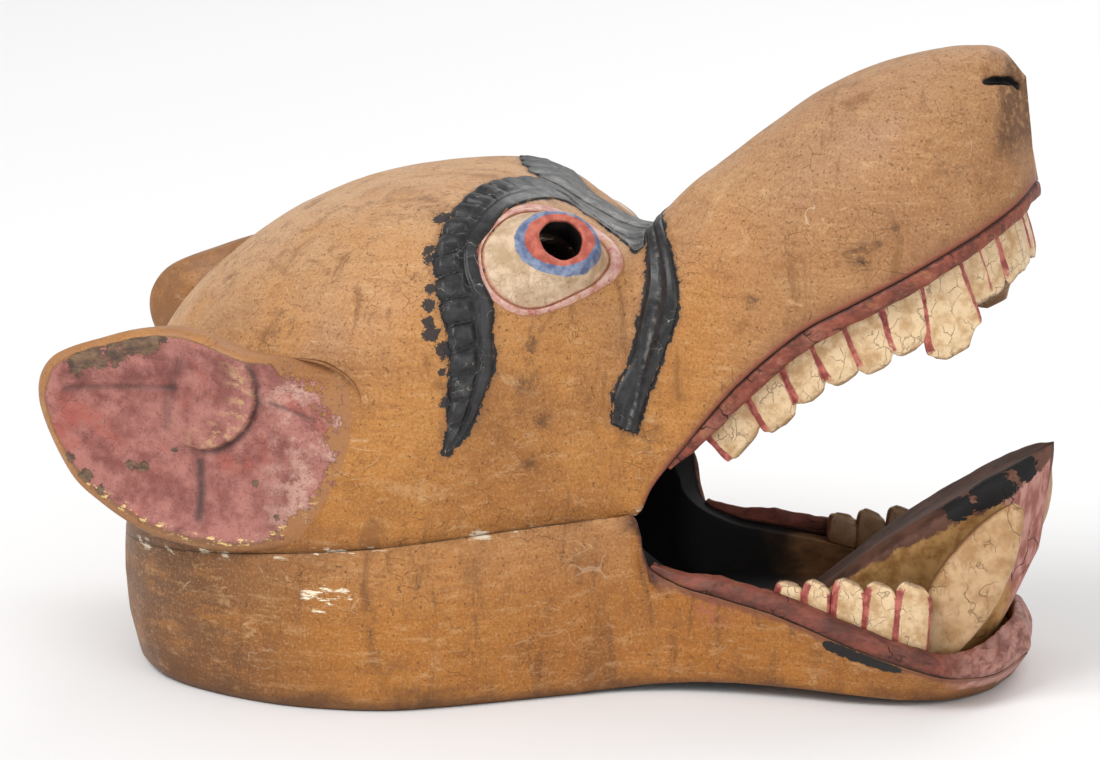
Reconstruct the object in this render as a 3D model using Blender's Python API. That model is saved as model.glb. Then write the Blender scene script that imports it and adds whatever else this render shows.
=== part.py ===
"""Carved and painted wooden helmet mask in the shape of an animal head with an open mouth.

Lengths below are millimetres and become metres where a mesh is made. The snout points along +X, up is +Z,
the floor is Z = 0, and the middle plane is Y = 0. Left and right are the mask's own, and the near side, -Y,
is its right. The two sides are alike but for the left eye, brow and ear, carved lower and further back.
"""

import math

import bmesh
import bpy
import numpy as np
from mathutils import Matrix, Vector
from mathutils.bvhtree import BVHTree

for leftover in list(bpy.data.objects):
    bpy.data.objects.remove(leftover, do_unlink=True)

MM = 0.001
# Gap between neighbouring pieces, and how far outside the blocks the shapes that trim the other pieces reach
GAP = 0.3
SEAT = GAP + 0.06
# Puts the middle of the mask's length over the origin
CENTRE_X = 2.16
WALL = 14.0
SNOUT_WALL = 13.0
JAW_RIM_FRONT = 18.0
# The outside of the collar swells this much, and its foot is drawn in this much
COLLAR_SWELL = 3.0
FOOT_INSET = 3.0
LIP_TALL = 8.5
LIP_DEEP = 5.6
LIP_UPPER_START = 0.632
LIP_LOWER_START = 0.697
LIP_UPPER_STEPS = 15
LIP_LOWER_STEPS = 14
TOOTH_SIDES = 8
# How squared the section of a tooth is: 1 is an ellipse, 0 a box
TOOTH_ROUND = 0.7
# Gap between the lips and the teeth
TOOTH_OFF = 0.8
# The front teeth stand this much further in, because the lip curves round them
FRONT_OFF = 1.5
EAR_STEPS = 18
EYE_STEPS = 18
# Centre of each eye, the way it looks, then how far the skin bulges round it and the middle of that bulge,
# x and z; the left eye sits lower and further back
EYES = {
    -1.0: ((9.4, -71.2, 221.7), (0.42, -0.66, 0.62), (11.0, 10.0, 216.0)),
    1.0: ((0.0, 88.5, 197.0), (0.36, 0.82, 0.44), (7.0, 0.0, 193.0)),
}
PUPIL_AT = np.array([6.7, 4.6])
LID_HIGH = 2.2
PUPIL_LEVEL = -3.0
PUPIL_RADIUS = 10.8
# The bore starts this far in front of the plane of the eye, ends this far behind it, and has this many sides
PUPIL_FROM = 14.0
PUPIL_TO = -34.0
PUPIL_SIDES = 20
# Eyeballs and lids reach this far into the block before they are trimmed to it
BALL_ROOT = 5.0
LID_ROOT = 4.0
HEAD_STEPS = 34
HEAD_RISE = 9
# Rows of the skin crowd toward the rim by this power
HEAD_CROWD = 1.05
JAW_STEPS = 32
BROW_STEPS = 25
BROW_RIBS = 12
BROW_RIB_DEPTH = 0.18
BROW_FADE = 0.3
BAND_STEPS = 10
# Strips reach this far under the skin, and stand at least this far above it
STRIP_ROOT = 3.0
STRIP_LEAST = 1.2
# Height of the room that is kept free for a brow where it crosses the eye
BROW_ROOM = 9.0
TONGUE_STEPS = 11
TONGUE_RIM = 3.0
TONGUE_TROUGH = 1.5

# Upper block, near side: where along the rim, rim x, half width, rim z, crown x, crown z, and how round the
# section is
HEAD_KEYS = np.array([
    (0.000, -220.0, 0.0, 63.0, -215.0, 120.0, 0.90),
    (0.045, -218.0, 31.5, 63.6, -211.0, 141.0, 0.90),
    (0.090, -212.0, 61.0, 64.6, -203.0, 160.0, 0.90),
    (0.135, -199.5, 86.5, 66.4, -189.0, 179.0, 0.90),
    (0.180, -180.0, 107.0, 69.0, -170.0, 197.0, 0.89),
    (0.230, -152.0, 124.0, 72.8, -144.0, 216.0, 0.86),
    (0.280, -118.0, 134.5, 77.0, -112.0, 232.0, 0.83),
    (0.330, -87.0, 138.0, 80.6, -82.0, 240.0, 0.80),
    (0.380, -55.0, 133.0, 83.9, -54.0, 244.0, 0.76),
    (0.435, -24.0, 117.0, 86.3, -28.0, 244.5, 0.69),
    (0.485, 3.0, 99.0, 87.9, -6.0, 238.5, 0.64),
    (0.530, 27.0, 83.0, 88.8, 14.0, 227.0, 0.64),
    (0.560, 42.0, 72.0, 89.4, 30.0, 219.5, 0.68),
    (0.590, 53.0, 65.5, 90.2, 43.0, 218.5, 0.76),
    (0.615, 59.0, 63.5, 103.0, 50.0, 227.0, 0.84),
    (0.650, 76.0, 63.5, 126.0, 61.0, 239.0, 0.86),
    (0.700, 102.0, 65.0, 158.0, 79.0, 254.0, 0.88),
    (0.750, 133.0, 67.0, 186.0, 101.0, 272.0, 0.89),
    (0.800, 158.0, 68.0, 201.0, 126.0, 290.5, 0.89),
    (0.850, 182.0, 67.0, 215.0, 152.0, 304.5, 0.89),
    (0.900, 205.0, 60.0, 229.0, 179.0, 313.5, 0.89),
    (0.940, 221.0, 46.0, 239.0, 201.0, 317.5, 0.90),
    (0.970, 232.0, 26.0, 247.0, 216.5, 316.5, 0.90),
    (1.000, 235.5, 0.0, 252.0, 230.0, 304.0, 0.90),
])

# Hollow of the upper block: where along the rim, crown x, crown z
HOLLOW_KEYS = np.array([
    (0.000, -199.0, 118.0),
    (0.045, -196.0, 134.0),
    (0.090, -189.0, 150.0),
    (0.180, -160.0, 183.0),
    (0.280, -106.0, 216.0),
    (0.380, -52.0, 231.0),
    (0.435, -28.0, 232.0),
    (0.485, -6.0, 228.0),
    (0.530, 14.0, 214.0),
    (0.560, 30.0, 198.0),
    (0.590, 43.0, 182.0),
    (0.615, 52.0, 175.0),
    (0.650, 66.0, 174.0),
    (0.700, 88.0, 190.0),
    (0.750, 114.0, 208.0),
    (0.800, 140.0, 222.0),
    (0.850, 166.0, 234.0),
    (0.900, 188.0, 244.0),
    (0.940, 204.0, 251.0),
    (0.970, 212.0, 255.0),
    (1.000, 217.0, 257.0),
])

# Lower block, near side: where along it, foot x, half width, foot z, top x, half width, top z,
# then how far the section belongs to the mouth floor, and the edge of the neck hole, x and half width
JAW_KEYS = np.array([
    (0.000, -213.0, 0.0, 0.0, -220.0, 0.0, 63.0, 0.0, -200.0, 0.0),
    (0.050, -211.0, 31.5, 0.0, -218.0, 31.5, 63.6, 0.0, -198.0, 26.0),
    (0.100, -204.5, 61.0, 0.0, -212.0, 61.0, 64.6, 0.0, -193.0, 51.0),
    (0.150, -192.0, 87.0, 0.0, -199.5, 86.5, 66.4, 0.0, -182.0, 74.0),
    (0.200, -175.0, 107.5, 0.0, -180.0, 107.0, 69.0, 0.0, -166.0, 94.0),
    (0.260, -149.0, 124.0, 0.0, -152.0, 124.0, 72.8, 0.0, -143.0, 110.0),
    (0.320, -118.0, 135.0, 0.0, -118.0, 134.5, 77.0, 0.0, -115.0, 120.5),
    (0.380, -87.0, 138.0, 0.0, -87.0, 138.0, 80.6, 0.0, -86.0, 124.0),
    (0.440, -55.0, 133.0, 0.0, -55.0, 133.0, 83.9, 0.0, -60.0, 119.0),
    (0.500, -24.0, 117.0, 0.0, -24.0, 117.0, 86.3, 0.0, -32.0, 104.0),
    (0.550, 3.0, 100.0, 0.0, 3.0, 99.0, 87.9, 0.0, -5.0, 87.0),
    (0.600, 27.0, 85.0, 0.5, 27.0, 83.0, 88.8, 0.0, 19.0, 72.0),
    (0.635, 43.0, 76.0, 1.5, 43.0, 71.5, 89.4, 0.1, 36.0, 62.0),
    (0.655, 52.0, 73.0, 2.5, 50.0, 67.0, 88.9, 0.3, 46.0, 56.0),
    (0.675, 61.0, 70.5, 3.5, 52.5, 65.5, 76.0, 0.55, 55.0, 50.0),
    (0.695, 70.0, 68.5, 4.2, 57.0, 64.5, 63.5, 0.8, 62.0, 44.0),
    (0.720, 82.0, 67.0, 5.0, 70.0, 66.5, 56.0, 1.0, 69.0, 36.0),
    (0.760, 104.0, 66.0, 5.4, 96.0, 70.5, 50.5, 1.0, 75.0, 28.0),
    (0.810, 133.0, 67.0, 5.0, 128.0, 76.0, 44.0, 1.0, 78.0, 21.0),
    (0.860, 164.0, 68.0, 3.8, 161.0, 80.0, 33.0, 1.0, 80.0, 14.0),
    (0.900, 187.0, 63.0, 2.0, 187.0, 79.0, 24.5, 1.0, 81.0, 9.0),
    (0.940, 208.0, 49.0, 0.6, 212.0, 68.0, 17.0, 1.0, 82.0, 5.0),
    (0.970, 221.0, 28.0, 0.2, 228.0, 44.0, 14.0, 1.0, 82.5, 2.5),
    (1.000, 227.0, 0.0, 0.0, 236.0, 0.0, 13.0, 1.0, 83.0, 0.0),
])

# Brow, near side, from its low tip over the eye to the bridge: outer edge and inner edge as places on the
# skin (u, w)
BROW_KEYS = [
    (0.423, 0.100, 0.429, 0.104),
    (0.426, 0.167, 0.448, 0.148),
    (0.427, 0.269, 0.464, 0.246),
    (0.422, 0.358, 0.463, 0.336),
    (0.412, 0.451, 0.463, 0.424),
    (0.404, 0.541, 0.449, 0.513),
    (0.402, 0.632, 0.443, 0.608),
    (0.405, 0.722, 0.451, 0.680),
    (0.413, 0.803, 0.456, 0.744),
    (0.425, 0.894, 0.467, 0.820),
    (0.441, 0.958, 0.482, 0.894),
    (0.459, 0.994, 0.498, 0.951),
    (0.481, 1.000, 0.515, 0.972),
    (0.509, 1.000, 0.543, 0.950),
    (0.541, 1.000, 0.569, 0.887),
    (0.566, 1.000, 0.584, 0.811),
    (0.586, 1.000, 0.601, 0.790),
]

# Band between cheek and snout, near side, from the bridge down: back and front edge as places on the skin
BAND_KEYS = [
    (0.590, 1.000, 0.616, 0.960),
    (0.606, 0.800, 0.636, 0.720),
    (0.614, 0.660, 0.650, 0.540),
    (0.616, 0.536, 0.656, 0.400),
    (0.605, 0.448, 0.651, 0.316),
    (0.596, 0.360, 0.636, 0.255),
    (0.577, 0.267, 0.623, 0.212),
    (0.568, 0.203, 0.610, 0.181),
    (0.566, 0.148, 0.595, 0.141),
]

# Raised profiles of both strips: share across and height
BROW_PROFILE = [(0.0, 0.8), (0.14, 4.4), (0.55, 4.6), (0.66, 2.2), (1.0, 1.6)]
BAND_PROFILE = [(0.0, 0.8), (0.2, 2.6), (0.5, 1.6), (0.8, 2.6), (1.0, 0.8)]
BROW_DROP = 0.10

# Outlines in the plane of the eye: across toward the snout, and up
BALL_MIDDLE = np.array([-2.0, -2.0])
BALL_KEYS = [
    (-31.5, 4.5), (-22.0, 14.0), (-10.7, 20.0), (1.7, 22.6), (15.1, 20.4), (25.5, 13.6), (31.8, 5.0),
    (31.5, -4.0), (22.7, -14.1), (8.3, -21.5), (-5.6, -26.3), (-18.4, -26.4), (-29.7, -19.5), (-34.0, -8.3),
]
LID_KEYS = [
    (-35.0, 6.0), (-25.0, 18.4), (-12.5, 26.5), (2.4, 31.0), (17.0, 29.0), (31.0, 23.0), (40.0, 11.0),
    (40.5, -6.5), (27.0, -17.0), (9.8, -24.6), (-6.3, -29.2), (-19.6, -29.4), (-32.0, -22.0), (-37.6, -8.6),
]

# Dome of the eyeball from its outline to the bore, and lid from its outer line to the ball: share and height
BALL_PROFILE = [(0.0, 0.8), (0.14, 2.0), (0.38, 3.2), (0.70, 3.8), (1.0, 4.0)]
LID_PROFILE = [(0.0, 0.6), (0.55, LID_HIGH), (1.0, LID_HIGH * 0.9)]

# Outline of the ear seen from its side: x and z
EAR_KEYS = [
    (-238.9, 141.6), (-231.9, 163.9), (-203.3, 176.6), (-179.8, 183.2), (-158.0, 184.5), (-127.7, 176.4),
    (-107.4, 174.2), (-87.1, 171.0), (-72.0, 160.0), (-68.0, 135.0), (-74.0, 108.0), (-94.1, 87.0),
    (-120.0, 78.5), (-139.0, 76.0), (-158.1, 76.5), (-181.5, 80.6), (-205.9, 92.9), (-223.9, 108.5),
]
EAR_MIDDLE = (-150.0, 129.0)
# The face of the ear stands this far out at these x; the left ear's tip was carved further back and lower
EAR_FACE_X = (-240.0, -180.0, -120.0, -70.0)
EAR_FACE_Y = (-117.0, -127.5, -139.0, -143.5)
EAR_LEFT_DRIFT = (-12.0, -8.0)
# Depth of the dish and thickness of the ear at these x
EAR_DISH = ((-200.0, -110.0), (8.0, 2.5))
EAR_THICK = ((-235.0, -190.0, -120.0), (17.0, 22.0, 30.0))
# Front of the ear from its outline to its middle: share of the way, set back of the edge, share of the dish.
# Back of the ear: share of the way, share of the thickness
EAR_FRONT = [
    (0.0, 4.0, 0.0),
    (0.05, 0.6, 0.0),
    (0.11, 0.0, 0.0),
    (0.19, 0.0, 0.32),
    (0.40, 0.0, 0.8),
    (0.70, 0.0, 1.0),
]
EAR_BACK = [(0.60, 1.15), (0.20, 0.95), (0.03, 0.62)]

# Sections of the lips as shares of the depth and of the height
LIP_UPPER_PROFILE = [
    (-0.05, 0.0), (-0.25, 0.25), (-0.25, 0.8), (0.1, 1.0), (0.8, 0.95), (1.0, 0.55), (1.0, 0.0),
]
LIP_LOWER_PROFILE = [(-0.05, 0.0), (-0.2, 0.25), (0.2, 0.8), (0.8, 1.0), (1.0, 0.9), (1.0, 0.0)]
# Height and then depth of each lip, each as places along the edge and the value at each
LIP_UPPER_SIZES = ((0.0, 1.0), (LIP_TALL, LIP_TALL)), ((0.0, 1.0), (LIP_DEEP, LIP_DEEP))
LIP_LOWER_SIZES = ((0.66, 0.93, 1.0), (9.5, 10.5, 19.0)), ((0.93, 0.99), (LIP_DEEP, 9.0))

# Teeth on each side, from the mouth corner to the front: place along the edge, lean, height, width, thickness
UPPER_TEETH = [
    (0.674, 38.0, 15.0, 20.0, 6.6),
    (0.707, 28.0, 21.0, 19.5, 6.8),
    (0.733, 24.0, 21.0, 16.0, 6.8),
    (0.760, 27.0, 23.0, 16.0, 6.8),
    (0.797, 21.0, 25.5, 20.0, 6.8),
    (0.838, 13.0, 26.0, 17.4, 6.8),
    (0.8795, 16.0, 39.0, 22.4, 7.0),
    (0.9165, 20.0, 26.0, 10.2, 6.8),
    (0.9405, 19.0, 28.0, 10.8, 6.6),
    (0.9630, 18.0, 29.0, 13.2, 6.4),
    (0.9855, 18.0, 30.0, 13.4, 6.2),
]
LOWER_TEETH = [
    (0.808, 4.0, 15.0, 12.0, 6.8),
    (0.829, 4.0, 21.0, 13.3, 6.8),
    (0.854, 4.0, 29.0, 17.6, 7.0),
    (0.8785, 4.0, 34.0, 13.4, 7.0),
    (0.9050, 4.0, 40.0, 16.2, 7.0),
]
# Forms of a tooth from its base to its tip: share of the height, of the width and of the thickness
UPPER_FORM = [(0.0, 0.97, 1.08), (0.4, 1.0, 1.05), (0.8, 0.92, 0.85), (1.0, 0.6, 0.45)]
LOWER_FORM = [(0.0, 0.94, 1.0), (0.7, 1.0, 1.02), (0.9, 0.8, 0.8), (1.0, 0.45, 0.4)]
# An upper tooth starts behind the lip with this share of its width and thickness
UPPER_ROOT = (0.9, 1.0)
# Big lower tooth: direction across it, then path x, y, z, width and thickness
TUSK_ACROSS = np.array([0.82, 0.18, -0.50])
TUSK_PATH = [
    (193.0, -54.0, 19.0, 20.0, 12.0),
    (200.0, -53.0, 34.0, 26.0, 13.0),
    (211.5, -51.0, 55.0, 33.0, 13.0),
    (223.5, -48.0, 76.0, 28.0, 11.5),
    (231.0, -44.5, 89.0, 19.0, 9.0),
    (236.5, -41.0, 98.5, 7.0, 4.0),
]
# Tongue from root to tip: where along it, x, half width, top z, then x, half width and z of its foot
TONGUE_KEYS = [
    (0.00, 126.0, 24.0, 40.0, 126.0, 20.0, 24.0),
    (0.15, 143.0, 33.0, 54.0, 143.0, 24.0, 20.0),
    (0.35, 166.0, 37.0, 73.0, 166.0, 26.0, 18.0),
    (0.60, 195.0, 37.0, 93.0, 192.0, 26.0, 12.0),
    (0.80, 220.0, 33.0, 109.0, 210.5, 22.0, 10.0),
    (0.92, 236.0, 22.0, 117.5, 224.0, 14.0, 31.0),
    (1.00, 246.5, 5.0, 122.0, 240.0, 4.0, 66.0),
]

PAINTS = {
    "ochre_paint": ((0.52, 0.29, 0.09), 0.55),
    "pink_paint": ((0.50, 0.17, 0.17), 0.60),
    "black_paint": ((0.02, 0.02, 0.022), 0.55),
    "cream_paint": ((0.74, 0.62, 0.42), 0.50),
    "maroon_paint": ((0.24, 0.10, 0.08), 0.60),
}


def paint(name):
    """The Principled material of one paint, made once."""
    found = bpy.data.materials.get(name)
    if found:
        return found
    colour, rough = PAINTS[name]
    made = bpy.data.materials.new(name)
    made.use_nodes = True
    shader = made.node_tree.nodes["Principled BSDF"]
    shader.inputs["Base Color"].default_value = (*colour, 1.0)
    shader.inputs["Roughness"].default_value = rough
    return made


def solid(name, points, faces, colour):
    """One closed mesh object from points in millimetres; coincident points become one."""
    mesh = bpy.data.meshes.new(name)
    mesh.from_pydata((np.asarray(points, float) * MM).tolist(), [], [list(map(int, f)) for f in faces])
    work = bmesh.new()
    work.from_mesh(mesh)
    bmesh.ops.remove_doubles(work, verts=work.verts, dist=2e-6)
    bmesh.ops.dissolve_degenerate(work, edges=work.edges, dist=1e-6)
    bmesh.ops.recalc_face_normals(work, faces=work.faces)
    work.to_mesh(mesh)
    work.free()
    made = bpy.data.objects.new(name, mesh)
    bpy.context.scene.collection.objects.link(made)
    mesh.materials.append(paint(colour))
    mesh.shade_smooth()
    mesh.set_sharp_from_angle(angle=math.radians(35.0))
    return made


def along(keys, u):
    """The smooth curve through the rows of keys, whose first column is the position, at each u."""
    u = np.asarray(u, float)
    at = keys[:, 0]
    rows = keys[:, 1:]
    slope = np.diff(rows, axis=0) / np.diff(at)[:, None]
    step = np.diff(at)[:, None]
    inner = (slope[:-1] * step[1:] + slope[1:] * step[:-1]) / (step[1:] + step[:-1])
    tangent = np.vstack([slope[:1], inner, slope[-1:]])
    i = np.clip(np.searchsorted(at, u, side="right") - 1, 0, len(at) - 2)
    h = at[i + 1] - at[i]
    t = ((u - at[i]) / h)[..., None]
    h = h[..., None]
    return (
        (2 * t**3 - 3 * t**2 + 1) * rows[i]
        + (t**3 - 2 * t**2 + t) * h * tangent[i]
        + (3 * t**2 - 2 * t**3) * rows[i + 1]
        + (t**3 - t**2) * h * tangent[i + 1]
    )


def inward(x, half):
    """Unit normals, in plan and toward the middle line, of a near-side outline given as x and half width."""
    run = np.gradient(x)
    rise = np.gradient(half)
    run[0] = 0.0
    run[-1] = 0.0
    size = np.hypot(run, rise)
    return rise / size, run / size


def head_outer(u, w, side=-1.0):
    """Outer skin of the upper block drawn on the near side, at u along the rim and w from rim to crown."""
    u, w = np.broadcast_arrays(np.asarray(u, float), np.asarray(w, float))
    rim_x, half, rim_z, crown_x, crown_z, power = np.moveaxis(along(HEAD_KEYS, u), -1, 0)
    turn = w * math.pi / 2
    lift = np.sin(turn) ** power
    share = np.where(w >= 1.0, 0.0, np.cos(turn) ** power)
    x = rim_x + (crown_x - rim_x) * lift
    z = rim_z + (crown_z - rim_z) * lift
    y = -half * share
    swell, middle_x, middle_z = EYES[side][2]
    boss = np.exp(-(((x - middle_x) / 30.0) ** 2) - ((z - middle_z) / 26.0) ** 2)
    return np.stack([x, y - swell * boss * np.minimum(share * 2.0, 1.0) ** 2, z], -1)


def head_inner(u, w):
    """Inner skin of the upper block, with the rim set in by the wall and a shallow roof in the snout."""
    grid_u = np.linspace(0.0, 1.0, HEAD_STEPS * 4 + 1)
    rows = along(HEAD_KEYS, grid_u)
    in_x, in_y = inward(rows[:, 0], rows[:, 1])
    u, w = np.broadcast_arrays(np.asarray(u, float), np.asarray(w, float))
    rim_x, half, rim_z, _, _, power = np.moveaxis(along(HEAD_KEYS, u), -1, 0)
    crown_x, crown_z = np.moveaxis(along(HOLLOW_KEYS, u), -1, 0)
    thick = np.interp(u, [0.55, 0.65], [WALL, SNOUT_WALL])
    rim_x = rim_x + thick * np.interp(u, grid_u, in_x)
    half = np.maximum(half - thick * np.interp(u, grid_u, in_y), 0.0)
    half = np.where((u <= 0.0) | (u >= 1.0), 0.0, half)
    turn = w * math.pi / 2
    lift = np.sin(turn) ** power
    side = np.where(w >= 1.0, 0.0, np.cos(turn) ** power)
    return np.stack(
        [rim_x + (crown_x - rim_x) * lift, -half * side, rim_z + (crown_z - rim_z) * lift], -1
    )


def patch_faces(rows, columns, start):
    """Triangles over a grid of points held row by row; surfaces on the same grid are cut the same way."""
    faces = []
    for i in range(rows - 1):
        for j in range(columns - 1):
            a = start + i * columns + j
            b, c, d = a + 1, a + columns + 1, a + columns
            if j == columns - 2 and i == 0:
                faces += [(b, d, a), (b, c, d)]
            else:
                faces += [(a, b, c), (a, c, d)]
    return faces


def both_sides(points, faces, other=None):
    """Near-side points and faces with their mirror image; other holds far-side points that differ."""
    points = np.asarray(points, float).reshape(-1, 3)
    other = points if other is None else np.asarray(other, float).reshape(-1, 3)
    turned = [tuple(len(points) + i for i in reversed(face)) for face in faces]
    return np.vstack([points, other * (1.0, -1.0, 1.0)]), list(faces) + turned


def head_grid():
    """Places on the skin of the upper block: u along the rim and w from rim to crown."""
    return np.linspace(0.0, 1.0, HEAD_STEPS + 1), np.linspace(0.0, 1.0, HEAD_RISE + 1) ** HEAD_CROWD


def head_shell(name):
    """The upper block: outer skin, inner skin, and the flat rim that joins the two."""
    u, w = head_grid()
    inner = head_inner(u[:, None], w[None, :])
    count = len(u) * len(w)
    faces = patch_faces(len(u), len(w), 0)
    faces += [tuple(reversed(face)) for face in patch_faces(len(u), len(w), count)]
    for i in range(len(u) - 1):
        a = i * len(w)
        b = a + len(w)
        faces.append((a, b, count + b, count + a))
    halves = []
    for side in (-1.0, 1.0):
        skins = np.stack([head_outer(u[:, None], w[None, :], side), inner])
        skins[:, :, 0, 2] += GAP / 2
        halves.append(skins)
    points, faces = both_sides(halves[0], faces, halves[1])
    return solid(name, points, faces, "ochre_paint")


def jaw_section(u):
    """Points round the section of the lower block at u, from the outer foot over the top to the inner."""
    rows = np.moveaxis(along(JAW_KEYS, u), -1, 0)
    foot_x, foot_h, foot_z, top_x, top_h, top_z, mouth, hole_x, hole_h = rows
    in_x, in_y = inward(top_x, top_h)
    foot_z = np.maximum(foot_z, 0.0)
    on_middle = (u <= 0.0) | (u >= 1.0)
    floor_z = np.minimum(np.interp(top_x, [150.0, 230.0], [30.0, 18.0]), top_z - 5.0)

    def place(x, half, z):
        return np.stack([x, np.where(on_middle, 0.0, -np.maximum(half, 0.0)), z], -1)

    def mix(a, b, t):
        return a + (b - a) * t

    def mouth_mix(collar, floor):
        return mix(collar, floor, mouth)

    points = [place(foot_x + in_x * FOOT_INSET, foot_h - in_y * FOOT_INSET, foot_z)]
    for t in (0.06, 0.35, 0.68):
        bow = COLLAR_SWELL * (1.0 - mouth) * math.sin(math.pi * t)
        x = mix(foot_x, top_x, t) - in_x * bow
        half = mix(foot_h, top_h, t) + in_y * bow
        points.append(place(x, half, mix(foot_z, top_z, t)))
    points.append(place(top_x, top_h, top_z))
    set_in = np.interp(u, [0.88, 0.96], [WALL, JAW_RIM_FRONT])
    wall_x = top_x + in_x * set_in
    wall_h = top_h - in_y * set_in
    points.append(place(wall_x, wall_h, top_z))
    lean = 2.0 * mouth
    points.append(place(wall_x + in_x * lean, wall_h - in_y * lean, mouth_mix(top_z * 0.62, floor_z + 1.0)))
    for share, collar_z, drop in ((0.5 * mouth, 0.36, 0.0), (np.maximum(mouth, 0.7), 0.14, 2.0)):
        x = mix(wall_x, hole_x, share)
        half = mix(wall_h, hole_h, share)
        points.append(place(x, half, mouth_mix(top_z * collar_z, floor_z - drop)))
    points.append(place(hole_x, hole_h, foot_z))
    return np.stack(points, 1)


def jaw_block(name, skin):
    """The lower block: collar round the neck hole, and the jaw with the mouth floor.

    Its outer faces are moved out by skin, and its upper ones up by skin.
    """
    u = np.linspace(0.0, 1.0, JAW_STEPS + 1)
    ring = jaw_section(u)
    rows = along(JAW_KEYS, u)
    in_x, in_y = inward(rows[:, 3], rows[:, 4])
    ring[:, :5, 0] -= (skin * in_x)[:, None]
    ring[1:-1, :5, 1] -= (skin * in_y)[1:-1, None]
    ring[:, 4:-1, 2] += skin
    ring[:, 4:6, 2] -= GAP / 2
    count = ring.shape[1]
    faces = []
    for i in range(len(u) - 1):
        for j in range(count):
            k = (j + 1) % count
            faces.append((i * count + j, i * count + k, (i + 1) * count + k))
            faces.append((i * count + j, (i + 1) * count + k, (i + 1) * count + j))
    return solid(name, *both_sides(ring, faces), "ochre_paint")


def rim_frame(edge, u):
    """Point, inward direction in plan and forward tangent of a near-side edge line at u."""
    fine = np.linspace(0.0, 1.0, 401)
    line = edge(fine)
    in_x, in_y = inward(line[:, 0], -line[:, 1])
    run = np.gradient(line, axis=0)
    run[-1] = (0.0, 1.0, 0.0)
    run /= np.linalg.norm(run, axis=1, keepdims=True)
    u = np.asarray(u, float)
    point = np.stack([np.interp(u, fine, line[:, k]) for k in range(3)], -1)
    inner = np.stack([np.interp(u, fine, in_x), np.interp(u, fine, in_y), 0.0 * u], -1)
    ahead = np.stack([np.interp(u, fine, run[:, k]) for k in range(3)], -1)
    ahead /= np.linalg.norm(ahead, axis=-1, keepdims=True)
    inner -= (inner * ahead).sum(-1, keepdims=True) * ahead
    inner /= np.linalg.norm(inner, axis=-1, keepdims=True)
    return point, inner, ahead


def snout_edge(u):
    """The rim line of the upper block, near side."""
    rows = along(HEAD_KEYS, u)
    return np.stack([rows[:, 0], -np.maximum(rows[:, 1], 0.0), rows[:, 2]], -1)


def jaw_edge(u):
    """The top outer line of the lower block, near side."""
    rows = along(JAW_KEYS, u)
    return np.stack([rows[:, 3], -np.maximum(rows[:, 4], 0.0), rows[:, 5]], -1)


def lip(name, edge, start, steps, sizes, profile, upward):
    """A band along an edge line, from one mouth corner round the tip to the other.

    The profile holds (share of the depth, share of the height) pairs; sizes holds the height and then the
    depth, each as places along the edge and the value at each.
    """
    u = np.linspace(start, 1.0, steps)
    point, inner, ahead = rim_frame(edge, u)
    away = np.cross(ahead, inner)
    away *= np.sign(away[:, 2:3]) * (1.0 if upward else -1.0)
    high, thick = (np.interp(u, *size)[:, None] for size in sizes)
    rings = []
    for into, up in profile:
        rings.append(point + inner * thick * into + away * (GAP + high * up))
    near = np.stack(rings, 1)
    near[-1, :, 1] = 0.0
    far = near[-2::-1] * (1.0, -1.0, 1.0)
    return lofted(name, np.concatenate([near, far]), "pink_paint")


def loop_faces(loops, count):
    """Four-sided faces between closed loops of points held one after another."""
    faces = []
    for i in range(loops - 1):
        for j in range(count):
            k = (j + 1) % count
            faces.append((i * count + j, i * count + k, (i + 1) * count + k, (i + 1) * count + j))
    return faces


def lofted(name, ring, colour):
    """A closed body through loops of points that follow one another, with a flat face at each end."""
    loops, count = ring.shape[:2]
    faces = loop_faces(loops, count)
    faces.append(tuple(range(count)))
    faces.append(tuple(loops * count - 1 - j for j in range(count)))
    return solid(name, ring.reshape(-1, 3), faces, colour)


def tooth(name, path, across, depth, widths, depths, side):
    """A tooth as rounded rings along a path; across and depth are the directions of its two widths."""
    path = np.asarray(path, float)
    turns = np.linspace(0.0, 2 * math.pi, TOOTH_SIDES, endpoint=False) + math.pi / TOOTH_SIDES
    c = np.sign(np.cos(turns)) * np.abs(np.cos(turns)) ** TOOTH_ROUND
    s = np.sign(np.sin(turns)) * np.abs(np.sin(turns)) ** TOOTH_ROUND
    rings = []
    for place, wide, deep in zip(path, widths, depths):
        rings.append(place + np.outer(c * wide / 2, across) + np.outer(s * deep / 2, depth))
    ring = np.stack(rings)
    ring[..., 1] *= side
    return lofted(name, ring, "cream_paint")


def tooth_row(name, teeth, edge, form, side, upward, cutter):
    """A row of teeth behind a lip. Each leans forward by its angle from the way the row faces, up or down."""
    for number, (u, lean, tall, wide, thick) in enumerate(teeth, 1):
        point, inner, ahead = (part[0] for part in rim_frame(edge, np.array([u])))
        turn = 1.0 if upward else -1.0
        away = np.cross(ahead, inner)
        away *= turn * np.sign(away[2])
        aim = np.array([math.sin(math.radians(lean)), 0.0, turn * math.cos(math.radians(lean))])
        set_in = LIP_DEEP + TOOTH_OFF + thick / 2 + np.interp(u, [0.88, 0.95], [0.0, FRONT_OFF])
        root = point + inner * set_in + away * GAP
        base = root if upward else root + away * (LIP_TALL + GAP)
        path = [base + aim * tall * share for share, _, _ in form]
        widths = [wide * share for _, share, _ in form]
        depths = [thick * share for _, _, share in form]
        if not upward:
            path = [root, *path]
            widths = [wide * UPPER_ROOT[0], *widths]
            depths = [thick * UPPER_ROOT[1], *depths]
        cut(tooth("%s_%02d" % (name, number), path, ahead, inner, widths, depths, -side), cutter)


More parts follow.
